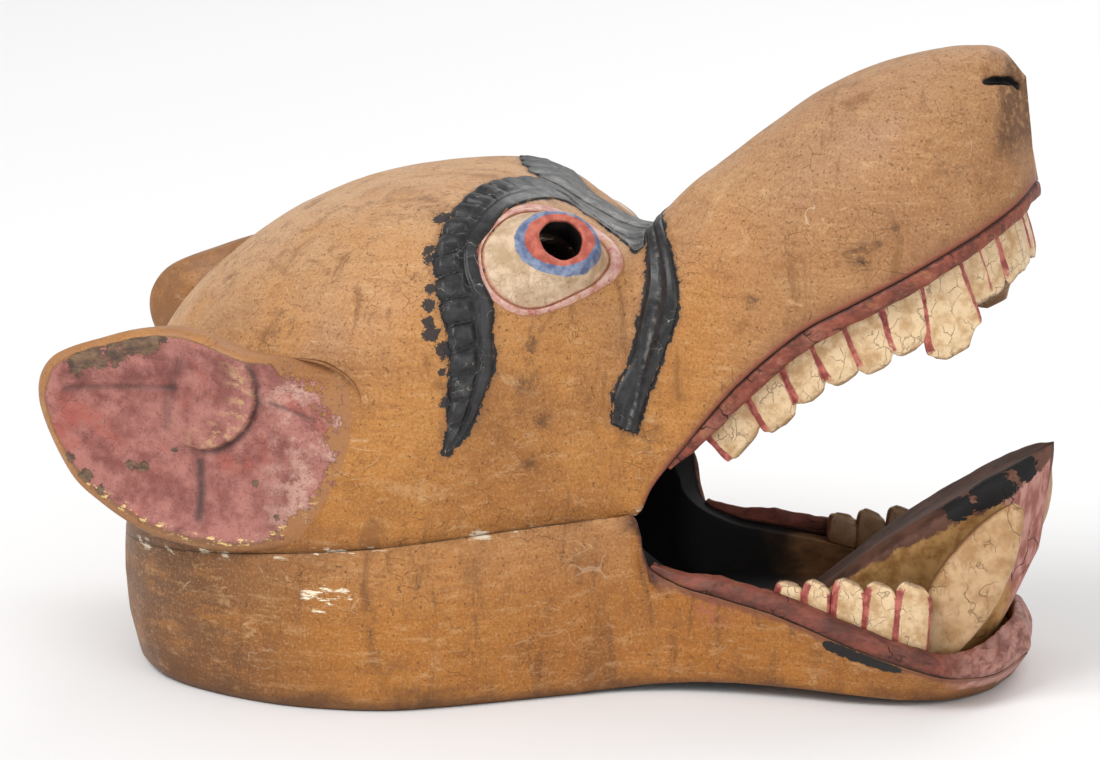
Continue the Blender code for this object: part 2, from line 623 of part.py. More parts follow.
def tusk(name, side):
    """The big lower tooth, a broad blade along its own path."""
    keys = np.array(TUSK_PATH)
    across = TUSK_ACROSS / np.linalg.norm(TUSK_ACROSS)
    flat = np.cross(across, keys[-1, :3] - keys[0, :3])
    flat /= np.linalg.norm(flat)
    cut(tooth(name, keys[:, :3], across, flat, keys[:, 3], keys[:, 4], -side), jaw_core)


def helper(made):
    """Keeps a shape that only cuts out of the render."""
    made.hide_render = True
    made.display_type = "WIRE"
    return made


def cut(made, cutter):
    """Takes the cutter out of the piece."""
    step = made.modifiers.new("seat", "BOOLEAN")
    step.operation = "DIFFERENCE"
    step.solver = "EXACT"
    step.object = cutter
    return made


def head_core(name, skin):
    """The upper block as one full body, moved out by skin, that pieces lying on it are cut with."""
    u, w = head_grid()
    rim = head_inner(u, 0.0 * u) - (0.0, 0.0, skin)
    start = len(u) * len(w)
    faces = patch_faces(len(u), len(w), 0)
    faces += [(i * len(w), i * len(w) + len(w), start + i + 1, start + i) for i in range(len(u) - 1)]
    halves = [np.vstack([moved_skin(u, w, skin, side).reshape(-1, 3), rim]) for side in (-1.0, 1.0)]
    count = len(halves[0])
    points, faces = both_sides(halves[0], faces, halves[1])
    for i in range(start, start + len(u) - 1):
        faces.append((i, i + 1, count + i + 1, count + i))
    return helper(solid(name, points, faces, "ochre_paint"))


def moved_skin(u, w, skin, side):
    """The grid of the outer skin, every point moved out by skin along its normal."""
    outer = head_outer(u[:, None], w[None, :], side)
    du = np.gradient(outer, axis=0)
    dw = np.gradient(outer, axis=1)
    normal = np.cross(du, dw)
    normal /= np.maximum(np.linalg.norm(normal, axis=-1, keepdims=True), 1e-9)
    moved = outer + skin * normal
    moved[:, -1, 1] = 0.0
    moved[0, :, 1] = 0.0
    moved[-1, :, 1] = 0.0
    moved[:, 0, 2] -= skin
    return moved


def skin_strip(name, keys, steps, profile, side, drop=0.0, fade=1.0, ribs=0.0):
    """A raised strip on the skin between two edge lines given as (u, w) pairs.

    The profile holds (share of the way across, height) pairs. Drop lowers its middle on the left side, fade
    thins its upper end, and ribs is how deep its waves are.
    """
    t = np.linspace(0.0, 1.0, steps)
    at = np.linspace(0.0, 1.0, len(keys))
    lines = along(np.column_stack([at, np.array(keys)]), t)
    if side > 0:
        sink = drop * np.sin(math.pi * np.clip((t - 0.1) / 0.8, 0.0, 1.0))
        lines[:, 1] -= sink * np.interp(t, [0.45, 0.62], [1.0, 0.0])
        lines[:, 3] -= sink
    early = 0.12 if side > 0 else 0.0
    taper = np.clip(t / 0.08, 0.35, 1.0) * np.interp(t + early, [0.50, 0.64], [1.0, fade])
    wave = 1.0 + ribs * np.cos(2 * math.pi * BROW_RIBS * t)
    tops = []
    lows = []
    for share, high in profile:
        u = lines[:, 0] + (lines[:, 2] - lines[:, 0]) * share
        w = np.clip(lines[:, 1] + (lines[:, 3] - lines[:, 1]) * share, 0.0, 0.9995)
        here = head_outer(u, w, side)
        rise = here - head_outer(u, w - 0.004, side)
        normal = np.cross(head_outer(u + 0.002, w, side) - here, rise)
        normal /= np.linalg.norm(normal, axis=-1, keepdims=True)
        tops.append(here + normal * np.maximum(high * taper * wave, STRIP_LEAST)[:, None])
        lows.append(here - normal * STRIP_ROOT)
    ring = np.stack(tops + lows[::-1], 1)
    ring[..., 1] = np.minimum(ring[..., 1], -GAP / 2)
    ring[..., 1] *= -side
    return lofted(name, ring, "black_paint")


def eye_axes(side):
    """Centre, two directions in the plane of the eye and the direction that the eye looks."""
    centre, look, _ = EYES[side]
    look = np.array(look) / np.linalg.norm(look)
    across = np.cross([0.0, 0.0, -side], look)
    across /= np.linalg.norm(across)
    up = np.cross(look, across) * -side
    return np.array(centre), across, up, look


def ring_body(name, rings, colour):
    """A closed body from closed loops of points that follow one another round and meet again."""
    ring = np.stack([*rings, rings[0]])
    return solid(name, ring.reshape(-1, 3), loop_faces(*ring.shape[:2]), colour)


def closed_outline(keys, count):
    """Points evenly placed by position along the smooth closed line through the keys."""
    keys = np.array(keys, float)
    again = np.vstack([keys[-2:], keys, keys[:3]])
    at = np.arange(-2, len(keys) + 3, dtype=float)
    t = np.linspace(0.0, len(keys), count, endpoint=False)
    return along(np.column_stack([at, again]), t)


def eye(side, word):
    """Eyeball with its pupil hole, and the lids round it, both cut to the head."""
    centre, across, up, look = eye_axes(side)

    def place(flat, high):
        flat = np.asarray(flat)
        return centre + flat[:, :1] * across + flat[:, 1:] * up + np.reshape(high, (-1, 1)) * look

    def skin_under(flat):
        """How far the skin lies above the plane of the eye at each point, along the way the eye looks."""
        high = []
        for start in place(flat, 40.0 + 0.0 * flat[:, 0]):
            found = skin_tree.ray_cast(Vector(start * MM), Vector(-look))
            high.append(40.0 - found[3] / MM)
        return np.array(high)

    ball = closed_outline(BALL_KEYS, EYE_STEPS)
    turns = np.arctan2(ball[:, 1] - PUPIL_AT[1], ball[:, 0] - PUPIL_AT[0])
    hole = PUPIL_AT + PUPIL_RADIUS * np.column_stack([np.cos(turns), np.sin(turns)])
    inset = BALL_MIDDLE + (ball - BALL_MIDDLE) * 0.985
    foot = skin_under(inset)
    rings = [place(inset, foot - BALL_ROOT)]
    for share, high in BALL_PROFILE:
        level = foot * (1.0 - share) + PUPIL_LEVEL * share
        rings.append(place(inset + (hole - inset) * share, level + high))
    rings.append(place(hole, skin_under(hole) - BALL_ROOT))
    eyeball = ring_body("eye_" + word, rings, "cream_paint")

    outer = closed_outline(LID_KEYS, EYE_STEPS)
    inner = BALL_MIDDLE + (ball - BALL_MIDDLE) * 1.02
    rings = [place(outer, skin_under(outer) - LID_ROOT)]
    for share, high in LID_PROFILE:
        flat = outer + (inner - outer) * share
        rings.append(place(flat, skin_under(flat) + high))
    rings.append(place(inner, skin_under(inner) - LID_ROOT))
    lid = ring_body("eyelid_" + word, rings, "pink_paint")

    room_profile = [(-0.02, BROW_ROOM), (1.03, BROW_ROOM)]
    room = helper(skin_strip("brow_room_" + word, BROW_KEYS, BROW_STEPS, room_profile, side, BROW_DROP))
    for made in (eyeball, lid):
        cut(made, core)
        cut(made, room)

    spin = np.linspace(0.0, 2 * math.pi, PUPIL_SIDES, endpoint=False)
    circle = PUPIL_AT + PUPIL_RADIUS * np.column_stack([np.cos(spin), np.sin(spin)])
    drill = np.stack([place(circle, np.full(PUPIL_SIDES, high)) for high in (PUPIL_FROM, PUPIL_TO)])
    cut(head, helper(lofted("pupil_drill_" + word, drill, "black_paint")))


def ear(side, word):
    """A leaf-shaped ear: a dished face inside a rounded rim, and a full back that is cut to the head."""
    outline = closed_outline(EAR_KEYS, EAR_STEPS)
    middle = np.array(EAR_MIDDLE)
    if side > 0:
        outline = outline + np.outer(np.interp(outline[:, 0], [-240.0, -70.0], [1.0, 0.0]), EAR_LEFT_DRIFT)
    face_y = np.interp(outline[:, 0], EAR_FACE_X, EAR_FACE_Y)
    thick = np.interp(outline[:, 0], *EAR_THICK)
    rings = []
    for share, part in EAR_BACK:
        flat = outline + (middle - outline) * share
        rings.append(np.column_stack([flat[:, 0], face_y + thick * part, flat[:, 1]]))
    for share, edge, deep in EAR_FRONT:
        flat = outline + (middle - outline) * share
        y = np.interp(flat[:, 0], EAR_FACE_X, EAR_FACE_Y) + edge + deep * np.interp(flat[:, 0], *EAR_DISH)
        rings.append(np.column_stack([flat[:, 0], y, flat[:, 1]]))
    ring = np.stack(rings)
    ring[..., 1] *= -side
    made = fanned("ear_" + word, ring, "ochre_paint")
    cut(made, core)
    cut(made, jaw_core)


def fanned(name, ring, colour):
    """A closed body through loops of points, each end closed by triangles that meet in its middle."""
    loops, count = ring.shape[:2]
    faces = loop_faces(loops, count)
    points = ring.reshape(-1, 3)
    for row in (0, loops - 1):
        points = np.vstack([points, ring[row].mean(axis=0)])
        faces += [(row * count + j, row * count + (j + 1) % count, len(points) - 1) for j in range(count)]
    return solid(name, points, faces, colour)


def tongue():
    """The tongue, a thick board that rises to a point over the chin and stands on the mouth floor."""
    rings = []
    rows = along(np.array(TONGUE_KEYS), np.linspace(0.0, 1.0, TONGUE_STEPS))
    for x, half, top, low_x, low_half, low in rows:
        rim_z = top - TONGUE_RIM
        waist_x = low_x * 0.35 + x * 0.65
        waist_z = low * 0.35 + top * 0.65 - TONGUE_RIM
        rings.append([
            (x, -half, rim_z), (x, -half * 0.86, top), (x, 0.0, top - TONGUE_TROUGH), (x, half * 0.86, top),
            (x, half, rim_z), (waist_x, half * 0.9, waist_z), (low_x, low_half, low), (low_x, -low_half, low),
            (waist_x, -half * 0.9, waist_z),
        ])
    return lofted("tongue", np.array(rings), "maroon_paint")


head = head_shell("head_upper")
jaw_block("jaw_lower", 0.0)
core = head_core("head_core", SEAT)
jaw_core = helper(jaw_block("jaw_core", SEAT))
skin_tree = BVHTree.FromObject(core, bpy.context.evaluated_depsgraph_get())

lip_upper = lip(
    "lip_upper", snout_edge, LIP_UPPER_START, LIP_UPPER_STEPS, LIP_UPPER_SIZES, LIP_UPPER_PROFILE, False
)
cut(lip_upper, core)
lip_lower = lip(
    "lip_lower", jaw_edge, LIP_LOWER_START, LIP_LOWER_STEPS, LIP_LOWER_SIZES, LIP_LOWER_PROFILE, True
)
cut(lip_lower, jaw_core)

for side, word in ((-1.0, "right"), (1.0, "left")):
    eye(side, word)
    brow = skin_strip(
        "brow_" + word, BROW_KEYS, BROW_STEPS, BROW_PROFILE, side, BROW_DROP, BROW_FADE, BROW_RIB_DEPTH
    )
    cut(brow, core)
    cut(skin_strip("cheek_band_" + word, BAND_KEYS, BAND_STEPS, BAND_PROFILE, side), core)
    ear(side, word)
    tooth_row("tooth_upper_" + word, UPPER_TEETH, snout_edge, UPPER_FORM, side, False, core)
    tooth_row("tooth_lower_" + word, LOWER_TEETH, jaw_edge, LOWER_FORM, side, True, jaw_core)
    tusk("tusk_" + word, side)
cut(tongue(), jaw_core)

for made in bpy.data.objects:
    made.data.transform(Matrix.Translation((CENTRE_X * MM, 0.0, 0.0)))
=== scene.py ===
"""Looks of a carved and painted wooden helmet mask, the head of an animal with its mouth wide open. Lengths
are millimetres until a mesh is made. The snout points along +X, up is +Z, the right side of the mask is
-Y."""

import math

import bmesh
import bpy
import numpy as np
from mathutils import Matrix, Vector


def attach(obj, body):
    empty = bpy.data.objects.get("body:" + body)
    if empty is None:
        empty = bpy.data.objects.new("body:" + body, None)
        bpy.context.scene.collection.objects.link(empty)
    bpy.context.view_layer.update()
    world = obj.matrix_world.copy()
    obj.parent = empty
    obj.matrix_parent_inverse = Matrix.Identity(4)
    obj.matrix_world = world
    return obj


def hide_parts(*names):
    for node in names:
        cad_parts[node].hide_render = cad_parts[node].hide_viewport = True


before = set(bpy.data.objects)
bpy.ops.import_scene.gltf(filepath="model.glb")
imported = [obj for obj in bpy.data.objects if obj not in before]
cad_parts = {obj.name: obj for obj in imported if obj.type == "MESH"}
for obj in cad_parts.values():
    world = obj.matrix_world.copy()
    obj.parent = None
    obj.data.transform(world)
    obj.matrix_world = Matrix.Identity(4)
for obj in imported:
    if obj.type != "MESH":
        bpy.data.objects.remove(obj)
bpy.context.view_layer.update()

# Upper block. One piece of light wood, carved outside as cranium and snout and hollowed from below with
# gouges. It was primed with chalk and painted with thin ochre, which has browned where hands hold it. The
# ochre is painted paler on top as a highlight.
CENTRE_X = 2.16
WALL = 14.0
SNOUT_WALL = 13.0
HALF_SEAM = 0.03
# Where along the rim, rim x, half width, rim z, crown x, crown z, roundness of the section
HEAD_KEYS = np.array([
    (0.000, -220.0, 0.0, 63.0, -215.0, 120.0, 0.90),
    (0.045, -218.0, 31.5, 63.6, -211.0, 141.0, 0.90),
    (0.090, -212.0, 61.0, 64.6, -203.0, 160.0, 0.90),
    (0.135, -199.5, 86.5, 66.4, -189.0, 179.0, 0.90),
    (0.180, -180.0, 107.0, 69.0, -170.0, 197.0, 0.89),
    (0.230, -152.0, 124.0, 72.8, -144.0, 216.0, 0.86),
    (0.280, -118.0, 134.5, 77.0, -112.0, 232.0, 0.83),
    (0.330, -87.0, 138.0, 80.6, -82.0, 240.0, 0.80),
    (0.380, -55.0, 133.0, 83.9, -54.0, 244.0, 0.76),
    (0.435, -24.0, 117.0, 86.3, -28.0, 244.5, 0.69),
    (0.485, 3.0, 99.0, 87.9, -6.0, 238.5, 0.64),
    (0.530, 27.0, 83.0, 88.8, 14.0, 227.0, 0.64),
    (0.560, 42.0, 72.0, 89.4, 30.0, 219.5, 0.68),
    (0.590, 53.0, 65.5, 90.2, 43.0, 218.5, 0.76),
    (0.615, 59.0, 63.5, 103.0, 50.0, 227.0, 0.84),
    (0.650, 76.0, 63.5, 126.0, 61.0, 239.0, 0.86),
    (0.700, 102.0, 65.0, 158.0, 79.0, 254.0, 0.88),
    (0.750, 133.0, 67.0, 186.0, 101.0, 272.0, 0.89),
    (0.800, 158.0, 68.0, 201.0, 126.0, 290.5, 0.89),
    (0.850, 182.0, 67.0, 215.0, 152.0, 304.5, 0.89),
    (0.900, 205.0, 60.0, 229.0, 179.0, 313.5, 0.89),
    (0.940, 221.0, 46.0, 239.0, 201.0, 317.5, 0.90),
    (0.970, 232.0, 26.0, 247.0, 216.5, 316.5, 0.90),
    (1.000, 235.5, 0.0, 252.0, 230.0, 304.0, 0.90),
])
# Where along the rim, then x and z of the roof of the hollow
HOLLOW_KEYS = np.array([
    (0.000, -199.0, 118.0), (0.045, -196.0, 134.0), (0.090, -189.0, 150.0), (0.180, -160.0, 183.0),
    (0.280, -106.0, 216.0), (0.380, -52.0, 231.0), (0.435, -28.0, 232.0), (0.485, -6.0, 228.0),
    (0.530, 14.0, 214.0), (0.560, 30.0, 198.0), (0.590, 43.0, 182.0), (0.615, 52.0, 175.0),
    (0.650, 66.0, 174.0), (0.700, 88.0, 190.0), (0.750, 114.0, 208.0), (0.800, 140.0, 222.0),
    (0.850, 166.0, 234.0), (0.900, 188.0, 244.0), (0.940, 204.0, 251.0), (0.970, 212.0, 255.0),
    (1.000, 217.0, 257.0),
])
# For each eye: its centre, the way it looks, then how far the skin swells round it, and where in x and z
EYES = {
    -1.0: ((9.4, -71.2, 221.7), (0.42, -0.66, 0.62), (11.0, 10.0, 216.0)),
    1.0: ((0.0, 88.5, 197.0), (0.36, 0.82, 0.44), (7.0, 0.0, 193.0)),
}
# Ends of the cut of each nostril, on the right side
NOSTRIL = np.array([(214.4, -20.5, 305.5), (220.8, -13.3, 304.9), (225.5, -7.5, 303.2), (229.1, -5.0, 300.4)])


def along(keys, u):
    """The smooth curve through the rows of keys at each u: cubic pieces whose slope at a row is the mean of
    both sides."""
    u = np.asarray(u, float)
    at, rows = keys[:, 0], keys[:, 1:]
    slope = np.diff(rows, axis=0) / np.diff(at)[:, None]
    step = np.diff(at)[:, None]
    inner = (slope[:-1] * step[1:] + slope[1:] * step[:-1]) / (step[1:] + step[:-1])
    tangent = np.vstack([slope[:1], inner, slope[-1:]])
    i = np.clip(np.searchsorted(at, u, side="right") - 1, 0, len(at) - 2)
    h = at[i + 1] - at[i]
    t = ((u - at[i]) / h)[..., None]
    h = h[..., None]
    return (
        (2 * t**3 - 3 * t**2 + 1) * rows[i]
        + (t**3 - 2 * t**2 + t) * h * tangent[i]
        + (3 * t**2 - 2 * t**3) * rows[i + 1]
        + (t**3 - t**2) * h * tangent[i + 1]
    )


def lumps(points, size, seed=0):
    """Soft random height from -1 to 1: each corner of a lattice of that size has a value made from its
    whole-number place, and the eight values round a point are blended across the cell."""
    cell = np.asarray(points, float) / size + 0.37 * seed
    low = np.floor(cell).astype(np.int64)
    t = cell - low
    t = t * t * (3.0 - 2.0 * t)
    total = np.zeros(cell.shape[:-1])
    for corner in np.ndindex(2, 2, 2):
        place = low + corner
        mixed = place[..., 0] * 73856093 ^ place[..., 1] * 19349663 ^ place[..., 2] * 83492791 ^ (seed * 2971)
        mixed = (mixed ^ (mixed >> 13)) * 1274126177
        value = ((mixed ^ (mixed >> 16)) & 65535) / 32767.5 - 1.0
        total += value * np.prod(np.where(corner, t, 1.0 - t), axis=-1)
    return total


def ease(value, low, high):
    """Rises smoothly from 0 at low to 1 at high."""
    t = np.clip((value - low) / (high - low), 0.0, 1.0)
    return t * t * (3.0 - 2.0 * t)


def tool_marks(points):
    """Height of the knife and rasp marks: broad soft lumps, smaller ones, and creases where two facets
    meet."""
    facets = np.abs(lumps(points, 30.0, 3))
    return 0.5 * lumps(points, 42.0, 1) + 0.22 * lumps(points, 13.0, 2) + 0.7 * (
        np.minimum(facets, 0.22) - 0.15
    )


def from_line(points, line):
    """Distance from each point to the nearest place on an open line of straight pieces, and how far along
    that is."""
    best = np.full(points.shape[:-1], 1e9)
    place = np.zeros(points.shape[:-1])
    start = 0.0
    for a, b in zip(line[:-1], line[1:]):
        run = b - a
        long = np.linalg.norm(run)
        t = np.clip(((points - a) @ run) / long**2, 0.0, 1.0)
        gap = np.linalg.norm(points - a - t[..., None] * run, axis=-1)
        place = np.where(gap < best, start + t * long, place)
        best = np.minimum(best, gap)
        start += long
    return best, place


def head_skin(u, w, side):
    """Smooth outer skin, drawn on the near side: a quarter of a rounded arch from the rim (w = 0) to the
    crown (w = 1), with the swelling round the eye pushed out sideways."""
    u, w = np.broadcast_arrays(np.asarray(u, float), np.asarray(w, float))
    rim_x, half, rim_z, crown_x, crown_z, power = np.moveaxis(along(HEAD_KEYS, u), -1, 0)
    turn = w * math.pi / 2
    lift = np.sin(turn) ** power
    share = np.where(w >= 1.0, 0.0, np.cos(turn) ** power)
    x = rim_x + (crown_x - rim_x) * lift
    z = rim_z + (crown_z - rim_z) * lift
    swell, middle_x, middle_z = EYES[side][2]
    boss = np.exp(-(((x - middle_x) / 30.0) ** 2) - ((z - middle_z) / 26.0) ** 2)
    return np.stack([x, -half * share - swell * boss * np.minimum(share * 2.0, 1.0) ** 2, z], -1)


def skin_normal(u, w, side):
    """Outward direction of the smooth skin: the cross product of its two slopes, level across the middle
    line."""
    e = 0.003
    ahead = head_skin(np.minimum(u + e, 1.0), w, side) - head_skin(np.maximum(u - e, 0.0), w, side)
    rise = head_skin(u, np.minimum(w + e, 1.0), side) - head_skin(u, np.maximum(w - e, 0.0), side)
    normal = np.cross(ahead, rise)
    normal[..., 1] = np.where((u <= 0.0) | (u >= 1.0) | (w >= 1.0), 0.0, normal[..., 1])
    return normal / np.maximum(np.linalg.norm(normal, axis=-1, keepdims=True), 1e-9)


def skin(u, w, side, high=0.0):
    """Carved outer skin, drawn on the near side: the smooth skin moved out by the tool marks and by high."""
    u, w = np.broadcast_arrays(np.asarray(u, float), np.asarray(w, float))
    here = head_skin(u, w, side)
    marks = tool_marks(here * (1.0, -side, 1.0))
    return here + skin_normal(u, w, side) * (marks + high)[..., None]


def inward(x, half):
    """Directions in plan that point square to an outline, given as x and half width, toward the middle
    line."""
    run, rise = np.gradient(x), np.gradient(half)
    run[0] = run[-1] = 0.0
    size = np.maximum(np.hypot(run, rise), 1e-9)
    return rise / size, run / size


def hollow(u, w):
    """Inner skin: the same arch with its rim set in by the wall, ending on the roof line of the hollow."""
    fine = np.linspace(0.0, 1.0, 137)
    rows = along(HEAD_KEYS, fine)
    in_x, in_y = inward(rows[:, 0], rows[:, 1])
    u, w = np.broadcast_arrays(np.asarray(u, float), np.asarray(w, float))
    rim_x, half, rim_z, _, _, power = np.moveaxis(along(HEAD_KEYS, u), -1, 0)
    crown_x, crown_z = np.moveaxis(along(HOLLOW_KEYS, u), -1, 0)
    thick = np.interp(u, [0.55, 0.65], [WALL, SNOUT_WALL])
    rim_x = rim_x + thick * np.interp(u, fine, in_x)
    half = np.maximum(half - thick * np.interp(u, fine, in_y), 0.0)
    turn = w * math.pi / 2
    lift = np.sin(turn) ** power
    share = np.where(w >= 1.0, 0.0, np.cos(turn) ** power)
    gouged = 0.8 * lumps(np.stack([u * 700.0, w * 200.0, 0.0 * u], -1), 15.0, 7) * share
    half = np.where((u <= 0.0) | (u >= 1.0), 0.0, half - gouged)
    return np.stack([
        rim_x + (crown_x - rim_x) * lift, -half * share, rim_z + (crown_z - rim_z) * lift + gouged
    ], -1)


def crowded(count, places, weights):
    """Rows from 0 to 1 that stand closer where the weights at the places are higher."""
    fine = np.linspace(0.0, 1.0, 801)
    total = np.concatenate([[0.0], np.cumsum(np.interp(fine, places, weights)[1:])])
    return np.interp(np.linspace(0.0, total[-1], count), total, fine)


def sheet_faces(rows, columns, start=0, wrap=False):
    """Four-sided faces between neighbouring points of a grid held row by row; wrap joins the last column to
    the first."""
    i, j = np.meshgrid(np.arange(rows - 1), np.arange(columns if wrap else columns - 1), indexing="ij")
    k = (j + 1) % columns
    corners = [i * columns + j, i * columns + k, (i + 1) * columns + k, (i + 1) * columns + j]
    return start + np.stack(corners, -1).reshape(-1, 4)


def piece(name, points, faces, marks, finish, stands_for):
    """One closed mesh object at the origin. Points are millimetres, marks are the numbers the paint reads
    at each point, and stands_for names the CAD nodes it replaces."""
    mesh = bpy.data.meshes.new(name)
    points = np.asarray(points, float).reshape(-1, 3) + (CENTRE_X, 0.0, 0.0)
    mesh.from_pydata((points * 0.001).tolist(), [], [face.tolist() for part in faces for face in part])
    for key, values in marks.items():
        mesh.attributes.new(key, "FLOAT", "POINT").data.foreach_set(
            "value", np.asarray(values, np.float32).ravel()
        )
    work = bmesh.new()
    work.from_mesh(mesh)
    bmesh.ops.remove_doubles(work, verts=work.verts, dist=2e-6)
    bmesh.ops.dissolve_degenerate(work, edges=work.edges, dist=1e-6)
    bmesh.ops.recalc_face_normals(work, faces=work.faces)
    work.to_mesh(mesh)
    work.free()
    mesh.shade_smooth()
    made = bpy.data.objects.new(name, mesh)
    bpy.context.scene.collection.objects.link(made)
    mesh.materials.append(finish)
    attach(made, "root")
    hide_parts(*stands_for)
    return made


class Finish:
    """Recipe of one painted finish: methods add nodes and hand on what comes out, and colour is the paint
    so far."""

    def __init__(self, name):
        self.material = bpy.data.materials.new(name)
        self.material.use_nodes = True
        self.nodes = self.material.node_tree.nodes
        self.links = self.material.node_tree.links
        self.shader = self.nodes["Principled BSDF"]
        self.place = self.nodes.new("ShaderNodeTexCoord").outputs["Object"]
        self.colour = None

    def node(self, kind, out, inputs, **settings):
        """Adds a node with these settings, and gives each input its number or the link from another node."""
        made = self.nodes.new(kind)
        for key, value in settings.items():
            setattr(made, key, value)
        for key, value in inputs.items():
            if isinstance(value, bpy.types.NodeSocket):
                self.links.new(value, made.inputs[key])
            else:
                made.inputs[key].default_value = value
        return made.outputs[out]

    def stretched(self, size, stretch):
        """The place on the mask counted in cells of that size in millimetres, drawn out along X, Y and Z."""
        scale = [1000.0 / size / part for part in stretch]
        return self.node("ShaderNodeMapping", "Vector", {"Vector": self.place, "Scale": scale})

    def grain(self, size, detail=3.0, rough=0.55, stretch=(1, 1, 1), warp=0.0):
        """Random cloud, 0 to 1, with lumps of about size millimetres, drawn out along X, Y and Z by
        stretch."""
        inputs = {"Vector": self.stretched(size, stretch), "Scale": 1.0, "Detail": detail, "Roughness": rough}
        return self.node("ShaderNodeTexNoise", "Fac", {**inputs, "Distortion": warp})

    def cracks(self, size, stretch=(1, 1, 1), width=0.04):
        """1 on thin lines between cells of about size millimetres and 0 elsewhere; the lines waver with a
        noise."""
        wander = self.node(
            "ShaderNodeTexNoise", "Color", {"Vector": self.stretched(size * 0.8, (1, 1, 1)), "Scale": 1.0}
        )
        bent = self.node("ShaderNodeVectorMath", 0, {0: wander, 1: (0.9, 0.9, 0.9)}, operation="MULTIPLY")
        place = self.node(
            "ShaderNodeVectorMath", 0, {0: self.stretched(size, stretch), 1: bent}, operation="ADD"
        )
        edge = self.node(
            "ShaderNodeTexVoronoi", "Distance", {"Vector": place, "Scale": 1.0}, feature="DISTANCE_TO_EDGE"
        )
        return self.ease(edge, width, 0.0)

    def mark(self, name):
        """The number of that name that the mesh holds at each point."""
        return self.node("ShaderNodeAttribute", "Fac", {}, attribute_name=name)

    def axis(self, name):
        """The place along X, Y or Z, in metres."""
        return self.node("ShaderNodeSeparateXYZ", name, {"Vector": self.place})

    def ease(self, value, low, high, start=0.0, end=1.0):
        """Goes smoothly from start where value is low to end where it is high."""
        inputs = {"Value": value, "From Min": low, "From Max": high, "To Min": start, "To Max": end}
        return self.node("ShaderNodeMapRange", "Result", inputs, interpolation_type="SMOOTHSTEP")

    def sum(self, a, b):
        return self.node("ShaderNodeMath", 0, {0: a, 1: b}, operation="ADD")

    def times(self, a, b):
        return self.node("ShaderNodeMath", 0, {0: a, 1: b}, operation="MULTIPLY")

    def most(self, a, b):
        return self.node("ShaderNodeMath", 0, {0: a, 1: b}, operation="MAXIMUM")

    def near(self, point, reach):
        """1 at a point of the mask, given in millimetres, falling to 0 at that reach."""
        gap = self.node(
            "ShaderNodeVectorMath", "Value", {0: self.place, 1: [c * 0.001 for c in point]},
            operation="DISTANCE"
        )
        return self.ease(gap, reach * 0.001, 0.0)

    def over(self, share, under, colour):
        """Colour over another one, by its share."""
        return self.node("ShaderNodeMix", 2, {0: share, 6: under, 7: colour}, data_type="RGBA")

    def lay(self, share, colour):
        """Lays a colour over the paint so far, by its share."""
        self.colour = self.over(share, self.colour, colour)

    def close(self, rough, height, depth, sheen=0.45):
        """Joins the paint, roughness and the height, whose full range is depth millimetres, to the shader."""
        bump = self.node(
            "ShaderNodeBump", "Normal", {"Height": height, "Distance": depth * 0.001, "Strength": 1.0}
        )
        self.links.new(self.colour, self.shader.inputs["Base Color"])
        self.links.new(rough, self.shader.inputs["Roughness"])
        self.links.new(bump, self.shader.inputs["Normal"])
        self.shader.inputs["Specular IOR Level"].default_value = sheen
        return self.material


